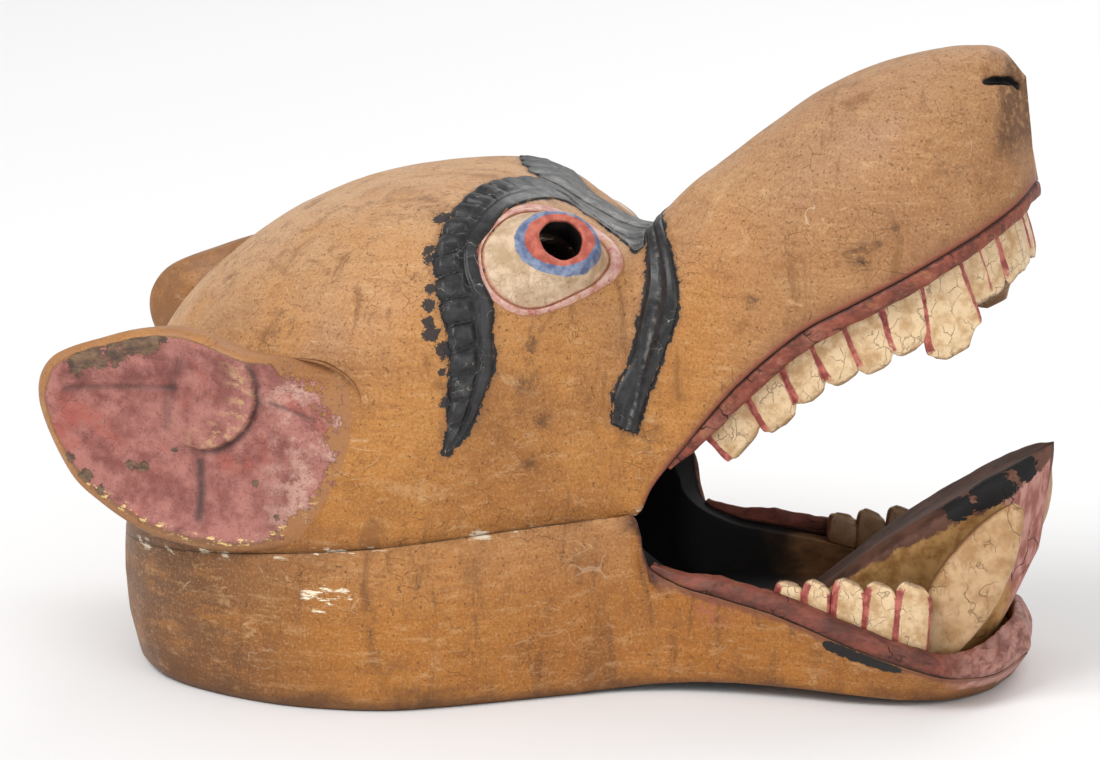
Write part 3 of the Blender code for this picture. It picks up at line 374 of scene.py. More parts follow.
def ochre_ground(paint):
    """Old ochre over chalk: golden and brown clouds, a canvas-fine grain, brush streaks along X, dark pits,
    pale rubs and short scratches. The crown is painted paler tan as a highlight and the snout is duller;
    toward the table the ochre is painted deeper and darker as shade, with brown runs, and the back of the
    collar is grimy."""
    gold, brown, tan = (0.46, 0.195, 0.044, 1), (0.27, 0.102, 0.025, 1), (0.56, 0.335, 0.180, 1)
    paint.colour = paint.over(paint.ease(paint.grain(70.0, 4.0, 0.62), 0.44, 0.64, 0.0, 0.8), gold, brown)
    # Painted shade: the ochre turns deeper and darker toward the table, where less light falls.
    paint.lay(paint.ease(paint.axis("Z"), 0.150, 0.045, 0.0, 0.6), (0.40, 0.142, 0.018, 1))
    # Painted highlight: paler tan where the pale mark is high, toward the crown and the top of the collar.
    painted_top_highlight = paint.times(paint.mark("pale"), paint.ease(paint.grain(34.0, 3.0, 0.6), 0.28, 0.55, 0.55, 1.0))
    paint.lay(painted_top_highlight, tan)
    dull = paint.times(
        paint.ease(paint.axis("X"), 0.070, 0.130, 0.0, 0.6), paint.ease(paint.axis("Z"), 0.12, 0.16)
    )
    paint.lay(dull, (0.345, 0.185, 0.096, 1))
    runs = paint.ease(paint.grain(13.0, 4.0, 0.7, (1, 1, 4.5), 0.6), 0.50, 0.68, 0.0, 0.6)
    paint.lay(paint.times(runs, paint.ease(paint.axis("Z"), 0.10, 0.055)), (0.13, 0.050, 0.018, 1))
    grime = paint.times(
        paint.ease(paint.axis("X"), -0.050, -0.170), paint.ease(paint.axis("Z"), 0.100, 0.075)
    )
    grime = paint.times(grime, paint.ease(paint.grain(9.0, 4.0, 0.72, (4, 4, 1)), 0.30, 0.56, 0.42, 0.95))
    paint.lay(grime, (0.115, 0.048, 0.020, 1))
    streaks = paint.grain(3.0, 5.0, 0.68, (12, 3, 1.3))
    paint.lay(paint.ease(streaks, 0.50, 0.70, 0.0, 0.42), (0.26, 0.100, 0.030, 1))
    paint.lay(paint.ease(streaks, 0.48, 0.28, 0.0, 0.42), (0.60, 0.36, 0.17, 1))
    weave = paint.grain(1.3, 3.0, 0.75)
    paint.lay(paint.ease(weave, 0.50, 0.70, 0.0, 0.60), (0.22, 0.090, 0.028, 1))
    paint.lay(paint.ease(weave, 0.50, 0.30, 0.0, 0.36), (0.64, 0.39, 0.19, 1))
    stain = paint.ease(paint.grain(19.0, 5.0, 0.74, (1, 1, 2.4), 0.8), 0.52, 0.68, 0.0, 0.6)
    paint.lay(stain, (0.19, 0.078, 0.026, 1))
    rub = paint.ease(paint.grain(15.0, 5.0, 0.77, (2.2, 1, 1), 0.5), 0.58, 0.72, 0.0, 0.50)
    paint.lay(rub, (0.66, 0.42, 0.21, 1))
    pits = paint.ease(paint.grain(1.7, 2.0, 0.5), 0.64, 0.72)
    paint.lay(paint.times(pits, 0.6), (0.12, 0.05, 0.02, 1))
    scratches = paint.times(
        paint.cracks(26.0, (1.6, 1, 0.5), 0.008), paint.ease(paint.grain(24.0, 3.0), 0.56, 0.66)
    )
    paint.lay(paint.times(scratches, 0.45), (0.74, 0.58, 0.40, 1))
    fine = paint.times(paint.cracks(15.0, (1, 1, 0.6), 0.012), paint.ease(paint.grain(28.0, 3.0), 0.54, 0.62))
    paint.lay(paint.times(fine, 0.45), (0.13, 0.05, 0.02, 1))
    height = paint.sum(paint.times(streaks, 0.45), paint.times(weave, 0.40))
    height = paint.sum(height, paint.sum(paint.times(pits, -0.35), paint.times(fine, -0.4)))
    rough = paint.ease(paint.grain(20.0, 3.0), 0.3, 0.7, 0.40, 0.58)
    return rough, height


def seam_lines(paint, height):
    """The glued seam: a fine dark line of gathered dirt that breaks up, with flecks of pale filler beside it.
    Hands back the height with the line cut into it."""
    seam = paint.mark("seam")
    broken = paint.ease(paint.grain(26.0, 3.0), 0.36, 0.55)
    line = paint.times(paint.ease(seam, 1.0, 0.2), broken)
    dirt = paint.times(paint.ease(seam, 6.0, 0.0, 0.0, 0.35), paint.ease(paint.grain(16.0, 3.0), 0.4, 0.7))
    paint.lay(dirt, (0.15, 0.06, 0.022, 1))
    filler = paint.times(
        paint.ease(seam, 4.0, 1.0), paint.ease(paint.grain(5.0, 4.0, 0.6, (4, 3, 1)), 0.56, 0.61)
    )
    paint.lay(paint.times(filler, 0.85), (0.80, 0.69, 0.52, 1))
    paint.lay(paint.times(line, 0.35), (0.08, 0.035, 0.015, 1))
    return paint.sum(height, paint.times(line, -0.3))


def bare_inside(paint):
    """Bare wood of the hollow, browned and blackened, laid where the mark says inside."""
    grained = paint.ease(paint.grain(9.0, 5.0, 0.6, (5, 1, 1)), 0.35, 0.7)
    wood = paint.over(grained, (0.030, 0.017, 0.010, 1), (0.105, 0.055, 0.028, 1))
    paint.lay(paint.mark("inside"), wood)


# Dark smudges and knots on the upper block: where, reach and strength
SMUDGES = [
    ((7.2, -86.1, 189.5), 8.0, 0.55), ((5.9, -88.5, 180.2), 8.0, 0.8), ((5.4, -90.2, 172.4), 7.0, 0.85),
    ((4.7, -93.3, 158.6), 8.0, 0.7), ((12.0, -90.7, 140.7), 9.0, 0.55), ((6.7, -96.4, 119.4), 9.0, 0.6),
    ((110.5, -63.9, 200.2), 7.0, 0.7), ((165.0, -67.0, 226.0), 13.0, 0.6), ((205.0, -50.0, 268.0), 13.0, 0.4),
    ((-115.0, -105.0, 185.0), 14.0, 0.5), ((60.0, -66.0, 128.0), 14.0, 0.4),
    ((-60.0, -60.0, 235.0), 18.0, 0.3),
]


def upper_paint():
    """Ochre with the black overspill of the brows, the pink line above the lip, nostrils, stains and the
    seam."""
    paint = Finish("ochre over carved head")
    rough, height = ochre_ground(paint)
    for place, reach, deep in SMUDGES:
        smudge = paint.times(
            paint.near(place, reach), paint.ease(paint.grain(6.5, 4.0, 0.7), 0.44, 0.60, 0.0, deep)
        )
        paint.lay(smudge, (0.045, 0.025, 0.018, 1))
    knots = paint.most(paint.near((165.4, -67.4, 223.0), 4.0), paint.near((172.9, -66.7, 231.3), 4.5))
    knots = paint.most(knots, paint.near((180.8, -64.9, 240.1), 3.5))
    knots = paint.times(knots, paint.ease(paint.grain(3.0, 4.0, 0.7), 0.35, 0.6))
    paint.lay(paint.times(knots, 0.8), (0.07, 0.03, 0.015, 1))
    lip = paint.mark("lip_line")
    ragged = paint.times(paint.grain(5.0, 4.0, 0.65), 5.0)
    paint.lay(paint.ease(paint.sum(lip, ragged), 13.0, 4.0, 0.0, 0.40), (0.16, 0.055, 0.028, 1))
    paint.lay(paint.ease(paint.sum(lip, ragged), 6.4, 3.6, 0.0, 0.85), (0.28, 0.085, 0.052, 1))
    # Painted shade: a dark line along the rim, where the head meets the upper lip.
    paint.lay(paint.ease(lip, 1.0, 0.2, 0.0, 0.4), (0.07, 0.026, 0.018, 1))
    along_tip = paint.sum(paint.axis("X"), paint.times(paint.grain(7.0, 4.0, 0.7), 0.006))
    front = paint.times(paint.ease(along_tip, 0.2235, 0.2285), paint.ease(paint.axis("Z"), 0.262, 0.280))
    worn = paint.times(front, paint.ease(paint.grain(4.0, 4.0, 0.7), 0.30, 0.55))
    paint.lay(paint.times(worn, 0.8), (0.10, 0.045, 0.022, 1))
    reach = paint.near((226.0, -46.0, 268.0), 20.0)
    knob = paint.times(reach, paint.ease(paint.grain(7.0, 5.0, 0.7), 0.40, 0.60, 0.0, 0.6))
    paint.lay(knob, (0.20, 0.080, 0.040, 1))
    soot = paint.sum(paint.mark("soot"), paint.times(paint.grain(6.0, 4.0, 0.7), 9.0))
    paint.lay(paint.ease(soot, 9.5, 5.4, 0.0, 0.5), (0.20, 0.095, 0.04, 1))
    paint.lay(paint.ease(soot, 6.0, 5.7), (0.018, 0.018, 0.020, 1))
    blot = paint.sum(paint.mark("blot"), paint.times(paint.grain(4.5, 5.0, 0.78), 1.9))
    paint.lay(paint.ease(blot, 1.72, 1.78, 0.0, 0.95), (0.020, 0.020, 0.023, 1))
    height = seam_lines(paint, height)
    bare_inside(paint)
    paint.lay(paint.ease(paint.mark("notch"), 0.12, 0.4), (0.012, 0.011, 0.011, 1))
    rough = paint.most(rough, paint.times(paint.mark("inside"), 0.85))
    return paint.close(rough, height, 0.55, 0.28)


# Spots of black paint beside the right brow: where on the skin, and radius
BLOTS = [
    (-45.4, -67.6, 233.8, 4.6), (-47.1, -87.2, 221.7, 3.6), (-46.5, -90.0, 216.0, 3.4),
    (-43.5, -101.0, 206.0, 3.2), (-42.5, -106.0, 199.3, 4.2), (-41.0, -110.0, 191.5, 3.6),
    (-39.7, -111.9, 185.7, 5.0), (-33.5, -111.9, 178.4, 4.6), (-33.9, -115.1, 168.0, 2.2),
    (-32.0, -117.1, 153.7, 3.4), (-31.0, -117.0, 138.0, 1.8), (37.5, -62.5, 151.5, 4.2),
    (40.0, -62.5, 145.0, 4.6), (37.0, -62.5, 158.0, 2.6),
]
# The left brow sits lower, and so do its spots
BLOT_SHIFT = (-9.0, 0.0, -7.0)

# Black strips laid on the skin. Brow: from its low tip round the eye to the bridge, outer edge and inner
# edge, as places on the skin (u, w). Band: from the bridge down the cheek, back edge and front edge.
BROW_KEYS = np.array([
    (0.423, 0.100, 0.429, 0.104), (0.426, 0.167, 0.448, 0.148), (0.427, 0.269, 0.464, 0.246),
    (0.422, 0.358, 0.463, 0.336), (0.412, 0.451, 0.463, 0.424), (0.404, 0.541, 0.449, 0.513),
    (0.402, 0.632, 0.443, 0.608), (0.405, 0.722, 0.451, 0.680), (0.413, 0.803, 0.456, 0.744),
    (0.425, 0.894, 0.467, 0.820), (0.441, 0.958, 0.482, 0.894), (0.459, 0.994, 0.498, 0.951),
    (0.481, 1.000, 0.515, 0.972), (0.509, 1.000, 0.543, 0.950), (0.541, 1.000, 0.569, 0.887),
    (0.566, 1.000, 0.584, 0.811), (0.586, 1.000, 0.601, 0.790),
])
BAND_KEYS = np.array([
    (0.590, 1.000, 0.616, 0.960), (0.606, 0.800, 0.636, 0.720), (0.614, 0.660, 0.650, 0.540),
    (0.616, 0.536, 0.656, 0.400), (0.605, 0.448, 0.651, 0.316), (0.596, 0.360, 0.636, 0.255),
    (0.577, 0.267, 0.623, 0.212), (0.568, 0.203, 0.610, 0.181), (0.566, 0.148, 0.595, 0.141),
])
BROW_DROP = 0.10


def strip_edges(keys, t, side, drop=0.0):
    """Both edges of a strip at t along it, as u, w, u, w; drop lowers the middle of the left one."""
    lines = along(np.column_stack([np.linspace(0.0, 1.0, len(keys)), keys]), t)
    if side > 0:
        sink = drop * np.sin(math.pi * np.clip((t - 0.1) / 0.8, 0.0, 1.0))
        lines[:, 1] -= sink * np.interp(t, [0.45, 0.62], [1.0, 0.0])
        lines[:, 3] -= sink
    return lines


def within(places, outline):
    """Whether each flat place lies inside a closed outline: it crosses the outline an odd number of times
    on its way out."""
    x, y = places[..., 0], places[..., 1]
    odd = np.zeros(x.shape, bool)
    for (ax, ay), (bx, by) in zip(outline, np.roll(outline, -1, axis=0)):
        if ay != by:
            odd ^= ((ay > y) != (by > y)) & (x < (bx - ax) * (y - ay) / (by - ay) + ax)
    return odd


def strip_gap(points, u, w, side, keys, drop):
    """Distance in millimetres from points on the skin to the edge of a strip, 0 inside it."""
    lines = strip_edges(keys, np.linspace(0.0, 1.0, 49), side, drop)
    outline = np.vstack([lines[:, :2], lines[::-1, 2:]])
    edge = head_skin(outline[:, 0], np.minimum(outline[:, 1], 1.0), side)
    gap = from_line(points, np.vstack([edge, edge[:1]]))[0]
    return np.where(within(np.stack([u, w], -1), outline), 0.0, gap)


def upper_block():
    """Outer and inner skin on one grid for each half, joined by the flat rim, with the marks that the paint
    reads."""
    u = crowded(330, [0.0, 0.35, 0.45, 0.60, 0.66, 0.86, 0.94, 1.0], [0.8, 0.8, 1.2, 1.2, 1.0, 1.0, 1.9, 1.9])
    w = crowded(98, [0.0, 0.1, 0.9, 1.0], [1.0, 1.2, 1.0, 0.8])
    roof = np.linspace(0.0, 1.0, 18)
    wide_u, wide_w = np.meshgrid(u, w, indexing="ij")
    inner = hollow(u[:, None], roof[None, :])
    inner[:, 0, 2] += HALF_SEAM
    unpainted = {
        "inside": 1.0, "pale": 0.0, "seam": 99.0, "lip_line": 99.0, "notch": 0.0, "soot": 99.0, "blot": 0.0
    }
    points, faces, marks = [], [], {key: [] for key in unpainted}
    start = 0
    for side in (-1.0, 1.0):
        outer = skin(wide_u, wide_w, side)
        gap, place = from_line(outer, NOSTRIL)
        shallow = np.interp(place, [0.0, 8.0, 20.0], [0.45, 0.9, 1.0])
        notch = ease(gap + 0.5 * lumps(outer, 4.0, 5), 3.4, 0.4) * shallow
        outer -= skin_normal(wide_u, wide_w, side) * (6.5 * notch)[..., None]
        from_rim = np.linalg.norm(outer - outer[:, :1], axis=-1)
        from_lip = from_rim + np.interp(wide_u, [0.585, 0.60], [9.0, 0.0])
        outer[:, 0, 2] += HALF_SEAM
        blot = np.zeros(wide_u.shape)
        shift = BLOT_SHIFT if side > 0 else (0.0, 0.0, 0.0)
        for x, y, z, radius in BLOTS:
            away = np.linalg.norm(outer - (x, y, z) - shift, axis=-1) / radius
            blot = np.maximum(blot, 1.4 - 0.7 * away)
        values = {
            "inside": 0.0 * wide_u,
            # Painted highlight: the pale mark rises toward the crown.
            "pale": ease(wide_w, 0.1, 0.95) * np.interp(wide_u, [0.3, 0.5, 0.62, 0.7], [1.0, 0.8, 0.5, 0.9]),
            "seam": np.where(wide_u < 0.60, from_rim, 99.0),
            "lip_line": np.where(wide_u > 0.585, from_lip, 99.0),
            "notch": notch,
            "soot": np.minimum(
                strip_gap(outer, wide_u, wide_w, side, BROW_KEYS, BROW_DROP),
                strip_gap(outer, wide_u, wide_w, side, BAND_KEYS, 0.0),
            ),
            "blot": blot,
        }
        inner_start = start + wide_u.size
        for part in (outer, inner):
            points.append(part.reshape(-1, 3) * (1.0, -side, 1.0))
        for key, value in values.items():
            marks[key] += [value.ravel(), np.full(inner.shape[0] * inner.shape[1], unpainted[key])]
        faces += [sheet_faces(len(u), len(w), start), sheet_faces(len(u), len(roof), inner_start)]
        i = np.arange(len(u) - 1)
        a, b = start + i * len(w), inner_start + i * len(roof)
        faces.append(np.stack([a, a + len(w), b + len(roof), b], -1))
        start = inner_start + len(u) * len(roof)
    marks = {key: np.concatenate(value) for key, value in marks.items()}
    return piece(
        "head_upper_carved", np.vstack(points), faces, marks, upper_paint(), ["head_upper"]
    )


head = upper_block()

# Lower block. The collar round the neck and the jaw with its floor, carved from a second log, gouged out
# and glued under the first. Ochre outside, black in the mouth, wood worn dark along the bottom edge where
# the mask stands.
JAW_WALL_FRONT = 18.0
# Where along it, x, half width and z of the foot, the same of the top, share of mouth floor, then x and half
# width of the neck hole
JAW_KEYS = np.array([
    (0.000, -213.0, 0.0, 0.0, -220.0, 0.0, 63.0, 0.0, -200.0, 0.0),
    (0.050, -211.0, 31.5, 0.0, -218.0, 31.5, 63.6, 0.0, -198.0, 26.0),
    (0.100, -204.5, 61.0, 0.0, -212.0, 61.0, 64.6, 0.0, -193.0, 51.0),
    (0.150, -192.0, 87.0, 0.0, -199.5, 86.5, 66.4, 0.0, -182.0, 74.0),
    (0.200, -175.0, 107.5, 0.0, -180.0, 107.0, 69.0, 0.0, -166.0, 94.0),
    (0.260, -149.0, 124.0, 0.0, -152.0, 124.0, 72.8, 0.0, -143.0, 110.0),
    (0.320, -118.0, 135.0, 0.0, -118.0, 134.5, 77.0, 0.0, -115.0, 120.5),
    (0.380, -87.0, 138.0, 0.0, -87.0, 138.0, 80.6, 0.0, -86.0, 124.0),
    (0.440, -55.0, 133.0, 0.0, -55.0, 133.0, 83.9, 0.0, -60.0, 119.0),
    (0.500, -24.0, 117.0, 0.0, -24.0, 117.0, 86.3, 0.0, -32.0, 104.0),
    (0.550, 3.0, 100.0, 0.0, 3.0, 99.0, 87.9, 0.0, -5.0, 87.0),
    (0.600, 27.0, 85.0, 0.5, 27.0, 83.0, 88.8, 0.0, 19.0, 72.0),
    (0.635, 43.0, 76.0, 1.5, 43.0, 71.5, 89.4, 0.1, 36.0, 62.0),
    (0.655, 52.0, 73.0, 2.5, 50.0, 67.0, 88.9, 0.3, 46.0, 56.0),
    (0.675, 61.0, 70.5, 3.5, 52.5, 65.5, 76.0, 0.55, 55.0, 50.0),
    (0.695, 70.0, 68.5, 4.2, 57.0, 64.5, 63.5, 0.8, 62.0, 44.0),
    (0.720, 82.0, 67.0, 5.0, 70.0, 66.5, 56.0, 1.0, 69.0, 36.0),
    (0.760, 104.0, 66.0, 5.4, 96.0, 70.5, 50.5, 1.0, 75.0, 28.0),
    (0.810, 133.0, 67.0, 5.0, 128.0, 76.0, 44.0, 1.0, 78.0, 21.0),
    (0.860, 164.0, 68.0, 3.8, 161.0, 80.0, 33.0, 1.0, 80.0, 14.0),
    (0.900, 187.0, 63.0, 2.0, 187.0, 79.0, 24.5, 1.0, 81.0, 9.0),
    (0.940, 208.0, 49.0, 0.6, 212.0, 68.0, 17.0, 1.0, 82.0, 5.0),
    (0.970, 221.0, 28.0, 0.2, 228.0, 44.0, 14.0, 1.0, 82.5, 2.5),
    (1.000, 227.0, 0.0, 0.0, 236.0, 0.0, 13.0, 1.0, 83.0, 0.0),
])
# How many rows fill each side of the section, from the outer foot over the top to the neck hole and back
JAW_ROWS = [3, 14, 16, 16, 10, 12, 8, 8, 6, 8]


def jaw_corners(u):
    """The ten corners of the section of the lower block at each u, drawn on the near side."""
    foot_x, foot_h, foot_z, top_x, top_h, top_z, mouth, hole_x, hole_h = np.moveaxis(
        along(JAW_KEYS, u), -1, 0
    )
    in_x, in_y = inward(top_x, top_h)
    foot_z = np.maximum(foot_z, 0.0)
    open_side = np.where((u <= 0.0) | (u >= 1.0), 0.0, 1.0)
    floor_z = np.minimum(30.0 - 12.0 * np.clip((top_x - 150.0) / 80.0, 0.0, 1.0), top_z - 5.0)

    def place(x, half, z):
        return np.stack([x, -np.maximum(half, 0.0) * open_side, z], -1)

    rows = [place(foot_x + in_x * 3.0, foot_h - in_y * 3.0, foot_z)]
    for t in (0.06, 0.35, 0.68):
        bow = 3.0 * (1.0 - mouth) * math.sin(math.pi * t)
        x, half = foot_x + (top_x - foot_x) * t - in_x * bow, foot_h + (top_h - foot_h) * t + in_y * bow
        rows.append(place(x, half, foot_z + (top_z - foot_z) * t))
    rows.append(place(top_x, top_h, top_z))
    set_in = np.interp(u, [0.88, 0.96], [WALL, JAW_WALL_FRONT])
    wall_x, wall_h = top_x + in_x * set_in, top_h - in_y * set_in
    rows.append(place(wall_x, wall_h, top_z))
    down = top_z * 0.62 + (floor_z + 1.0 - top_z * 0.62) * mouth
    rows.append(place(wall_x + in_x * 2.0 * mouth, wall_h - in_y * 2.0 * mouth, down))
    for share, low, drop in ((0.5 * mouth, 0.36, 0.0), (np.maximum(mouth, 0.7), 0.14, 2.0)):
        height = top_z * low + (floor_z - drop - top_z * low) * mouth
        rows.append(place(wall_x + (hole_x - wall_x) * share, wall_h + (hole_h - wall_h) * share, height))
    rows.append(place(hole_x, hole_h, foot_z))
    return np.stack(rows, 1)


# Line along which the paint under the right lip has flaked to black
FLAKE = np.array([
    (150.0, -79.5, 32.5), (158.0, -79.5, 30.0), (168.0, -80.0, 27.0), (176.0, -80.0, 25.0),
    (184.0, -80.0, 22.0),
])
# Chips down to the chalk on the collar: where, and reach
CHIPS = [
    ((-88.0, -136.0, 57.5), 14.0), ((-76.0, -136.0, 58.5), 9.0), ((-123.0, -129.0, 57.0), 7.0),
    ((-145.0, -120.0, 41.0), 7.0),
]


def lower_block():
    """The section carried along u: its corners are joined by rows of points that crowd toward each corner,
    averaged with their neighbours to round it, then pushed square to the surface by the tool marks."""
    u = crowded(300, [0.0, 0.6, 0.65, 0.72, 0.86, 0.93, 1.0], [0.8, 0.8, 1.5, 1.0, 1.0, 1.5, 1.6])
    corners = jaw_corners(u)
    ring, inside = [], []
    for k, rows in enumerate(JAW_ROWS):
        t = (0.5 - 0.5 * np.cos(math.pi * np.arange(rows) / rows))[None, :, None]
        a, b = corners[:, k], corners[:, (k + 1) % len(JAW_ROWS)]
        ring.append(a[:, None] + (b - a)[:, None] * t)
        inside += [0.0] * rows if k < 4 else [1.0] * rows
    ring = np.concatenate(ring, 1)
    top = sum(JAW_ROWS[:4])
    soft = np.ones(ring.shape[:2] + (1,))
    soft[u < 0.62, top - 3:top + 4] = 0.15
    for _ in range(3):
        ring = ring + soft * (0.25 * (np.roll(ring, 1, 1) + np.roll(ring, -1, 1)) - 0.5 * ring)
    smooth_u = np.gradient(ring, axis=0)
    normal = np.cross(smooth_u, np.roll(ring, -1, 1) - np.roll(ring, 1, 1))
    normal[[0, -1], :, 1] = 0.0
    normal /= np.maximum(np.linalg.norm(normal, axis=-1, keepdims=True), 1e-9)
    from_top = np.linalg.norm(ring - ring[:, top:top + 1], axis=-1)
    inside = np.broadcast_to(np.array(inside), ring.shape[:2])
    wide_u = np.broadcast_to(u[:, None], ring.shape[:2])
    corner = np.interp(wide_u, [0.62, 0.65, 0.70, 0.73], [0.0, 1.0, 1.0, 0.0])
    rolled = 2.2 * corner * np.exp(-((from_top - 5.0) / 5.0) ** 2) * (1.0 - inside)
    halves = []
    values = {key: [] for key in ("inside", "pale", "seam", "lip_line", "run", "top_gap", "flake")}
    for side in (-1.0, 1.0):
        marks = tool_marks(ring * (1.0, -side, 1.0)) * np.where(inside > 0.5, 1.3, 1.0) + rolled
        carved = ring + normal * (marks * ease(ring[..., 2], 0.0, 3.0))[..., None]
        carved[..., 2] = np.maximum(carved[..., 2], 0.0)
        carved[[0, -1], :, 1] = 0.0
        halves.append(carved.reshape(-1, 3) * (1.0, -side, 1.0))
        values["inside"].append(inside.ravel())
        # Painted highlight: the pale mark rises a little toward the top of the collar.
        values["pale"].append((0.25 * ease(ring[..., 2], 40.0, 90.0) * (wide_u < 0.65)).ravel())
        values["seam"].append(np.where(wide_u < 0.64, from_top, 99.0).ravel())
        values["lip_line"].append(np.where(wide_u > 0.655, from_top + 14.0 * inside, 99.0).ravel())
        values["run"].append(wide_u.ravel())
        values["top_gap"].append(from_top.ravel())
        values["flake"].append(from_line(halves[-1], FLAKE)[0])
    count = ring.shape[1]
    faces = [sheet_faces(len(u), count, 0, True), sheet_faces(len(u), count, ring.shape[0] * count, True)]
    values = {key: np.concatenate(value) for key, value in values.items()}
    return piece(
        "jaw_lower_carved", np.vstack(halves), faces, values, lower_paint(), ["jaw_lower"]
    )


def lower_paint():
    """Ochre with the dark worn bottom edge, pale scratches and chips, the pink chin, the dark mouth corner
    and the black mouth."""
    paint = Finish("ochre over carved jaw")
    rough, height = ochre_ground(paint)
    worn = paint.sum(paint.axis("Z"), paint.times(paint.grain(16.0, 5.0, 0.65, (2, 2, 1)), 0.034))
    paint.lay(paint.ease(worn, 0.034, 0.016, 0.0, 0.75), (0.10, 0.045, 0.02, 1))
    scores = paint.times(
        paint.cracks(34.0, (2.2, 2.2, 0.5), 0.009), paint.ease(paint.grain(36.0, 2.0), 0.56, 0.64)
    )
    paint.lay(paint.times(scores, 0.25), (0.76, 0.62, 0.44, 1))
    chips = paint.ease(paint.grain(3.5, 4.0, 0.7, (5, 5, 1)), 0.52, 0.58)
    for place, reach in CHIPS:
        chipped = paint.times(paint.near(place, reach), 2.4)
        paint.lay(paint.times(paint.ease(chipped, 0.4, 1.0), chips), (0.86, 0.74, 0.55, 1))
    lip = paint.mark("lip_line")
    ragged = paint.times(paint.grain(6.0, 4.0, 0.65), 8.0)
    chin = paint.times(
        paint.ease(paint.mark("run"), 0.925, 0.955), paint.ease(paint.sum(lip, ragged), 17.0, 14.0)
    )
    chin = paint.times(chin, paint.ease(paint.mark("inside"), 0.5, 0.4))
    pink = paint.over(
        paint.ease(paint.grain(7.0, 4.0, 0.6, (1, 1, 3)), 0.4, 0.65), (0.42, 0.17, 0.13, 1),
        (0.58, 0.34, 0.28, 1)
    )
    paint.lay(chin, pink)
    smear = paint.times(
        paint.near((94.0, -72.0, 46.0), 15.0), paint.ease(paint.grain(10.0, 4.0, 0.7), 0.45, 0.55)
    )
    paint.lay(paint.times(smear, 0.85), (0.38, 0.11, 0.085, 1))
    paint.lay(paint.ease(paint.sum(lip, ragged), 9.0, 5.5, 0.0, 0.8), (0.19, 0.065, 0.04, 1))
    flake = paint.sum(paint.mark("flake"), paint.times(paint.grain(5.0, 5.0, 0.75), 7.0))
    paint.lay(paint.ease(flake, 7.3, 6.9), (0.016, 0.015, 0.015, 1))
    corner = paint.times(
        paint.ease(paint.mark("run"), 0.63, 0.655), paint.ease(paint.mark("run"), 0.725, 0.70)
    )
    corner = paint.times(corner, paint.ease(paint.sum(paint.mark("top_gap"), ragged), 15.0, 9.0))
    rubbed = paint.ease(paint.grain(7.0, 5.0, 0.7), 0.36, 0.62)
    corner = paint.times(corner, 0.9)
    paint.lay(corner, paint.over(rubbed, (0.035, 0.016, 0.012, 1), (0.17, 0.058, 0.038, 1)))
    height = seam_lines(paint, height)
    black = (0.007, 0.006, 0.006, 1)
    stained = paint.over(
        paint.ease(paint.grain(12.0, 5.0, 0.6, (2, 1, 1)), 0.35, 0.7), (0.10, 0.045, 0.018, 1),
        (0.27, 0.13, 0.05, 1)
    )
    reach = paint.sum(paint.axis("X"), paint.times(paint.grain(24.0, 3.0), 0.045))
    mouth = paint.over(paint.ease(reach, 0.115, 0.145), black, stained)
    paint.lay(paint.mark("inside"), mouth)
    gum = paint.times(paint.mark("inside"), paint.ease(lip, 36.0, 30.0))
    paint.lay(paint.times(gum, paint.ease(paint.mark("run"), 0.76, 0.80)), stained)
    rough = paint.most(rough, paint.times(paint.mark("inside"), 0.85))
    return paint.close(rough, height, 0.55, 0.28)


lower_block()

# Lips. Bands left standing along both edges of the mouth and painted dull dark pink over the ochre, worn to
# maroon and black where the paint has come off; the front of the lower one is broad and makes the chin.
LIP_TALL = 8.5
LIP_DEEP = 5.6


def edge_frame(edge, u):
    """Point, inward direction and forward direction of a near-side edge line at u, read off a fine copy of
    the line."""
    fine = np.linspace(0.0, 1.0, 801)
    line = edge(fine)
    in_x, in_y = inward(line[:, 0], -line[:, 1])
    run = np.gradient(line, axis=0)
    run[-1] = (0.0, 1.0, 0.0)
    run /= np.linalg.norm(run, axis=1, keepdims=True)
    u = np.asarray(u, float)
    point = np.stack([np.interp(u, fine, line[:, k]) for k in range(3)], -1)
    inner = np.stack([np.interp(u, fine, in_x), np.interp(u, fine, in_y), 0.0 * u], -1)
    ahead = np.stack([np.interp(u, fine, run[:, k]) for k in range(3)], -1)
    ahead /= np.linalg.norm(ahead, axis=-1, keepdims=True)
    inner -= (inner * ahead).sum(-1, keepdims=True) * ahead
    inner /= np.linalg.norm(inner, axis=-1, keepdims=True)
    return point, inner, ahead


def snout_edge(u):
    """The near half of the rim of the upper block, from its keys."""
    rows = along(HEAD_KEYS, u)
    return np.stack([rows[:, 0], -np.maximum(rows[:, 1], 0.0), rows[:, 2]], -1)


def jaw_edge(u):
    """The near half of the top edge of the lower block, from its keys."""
    rows = along(JAW_KEYS, u)
    return np.stack([rows[:, 3], -np.maximum(rows[:, 4], 0.0), rows[:, 5]], -1)


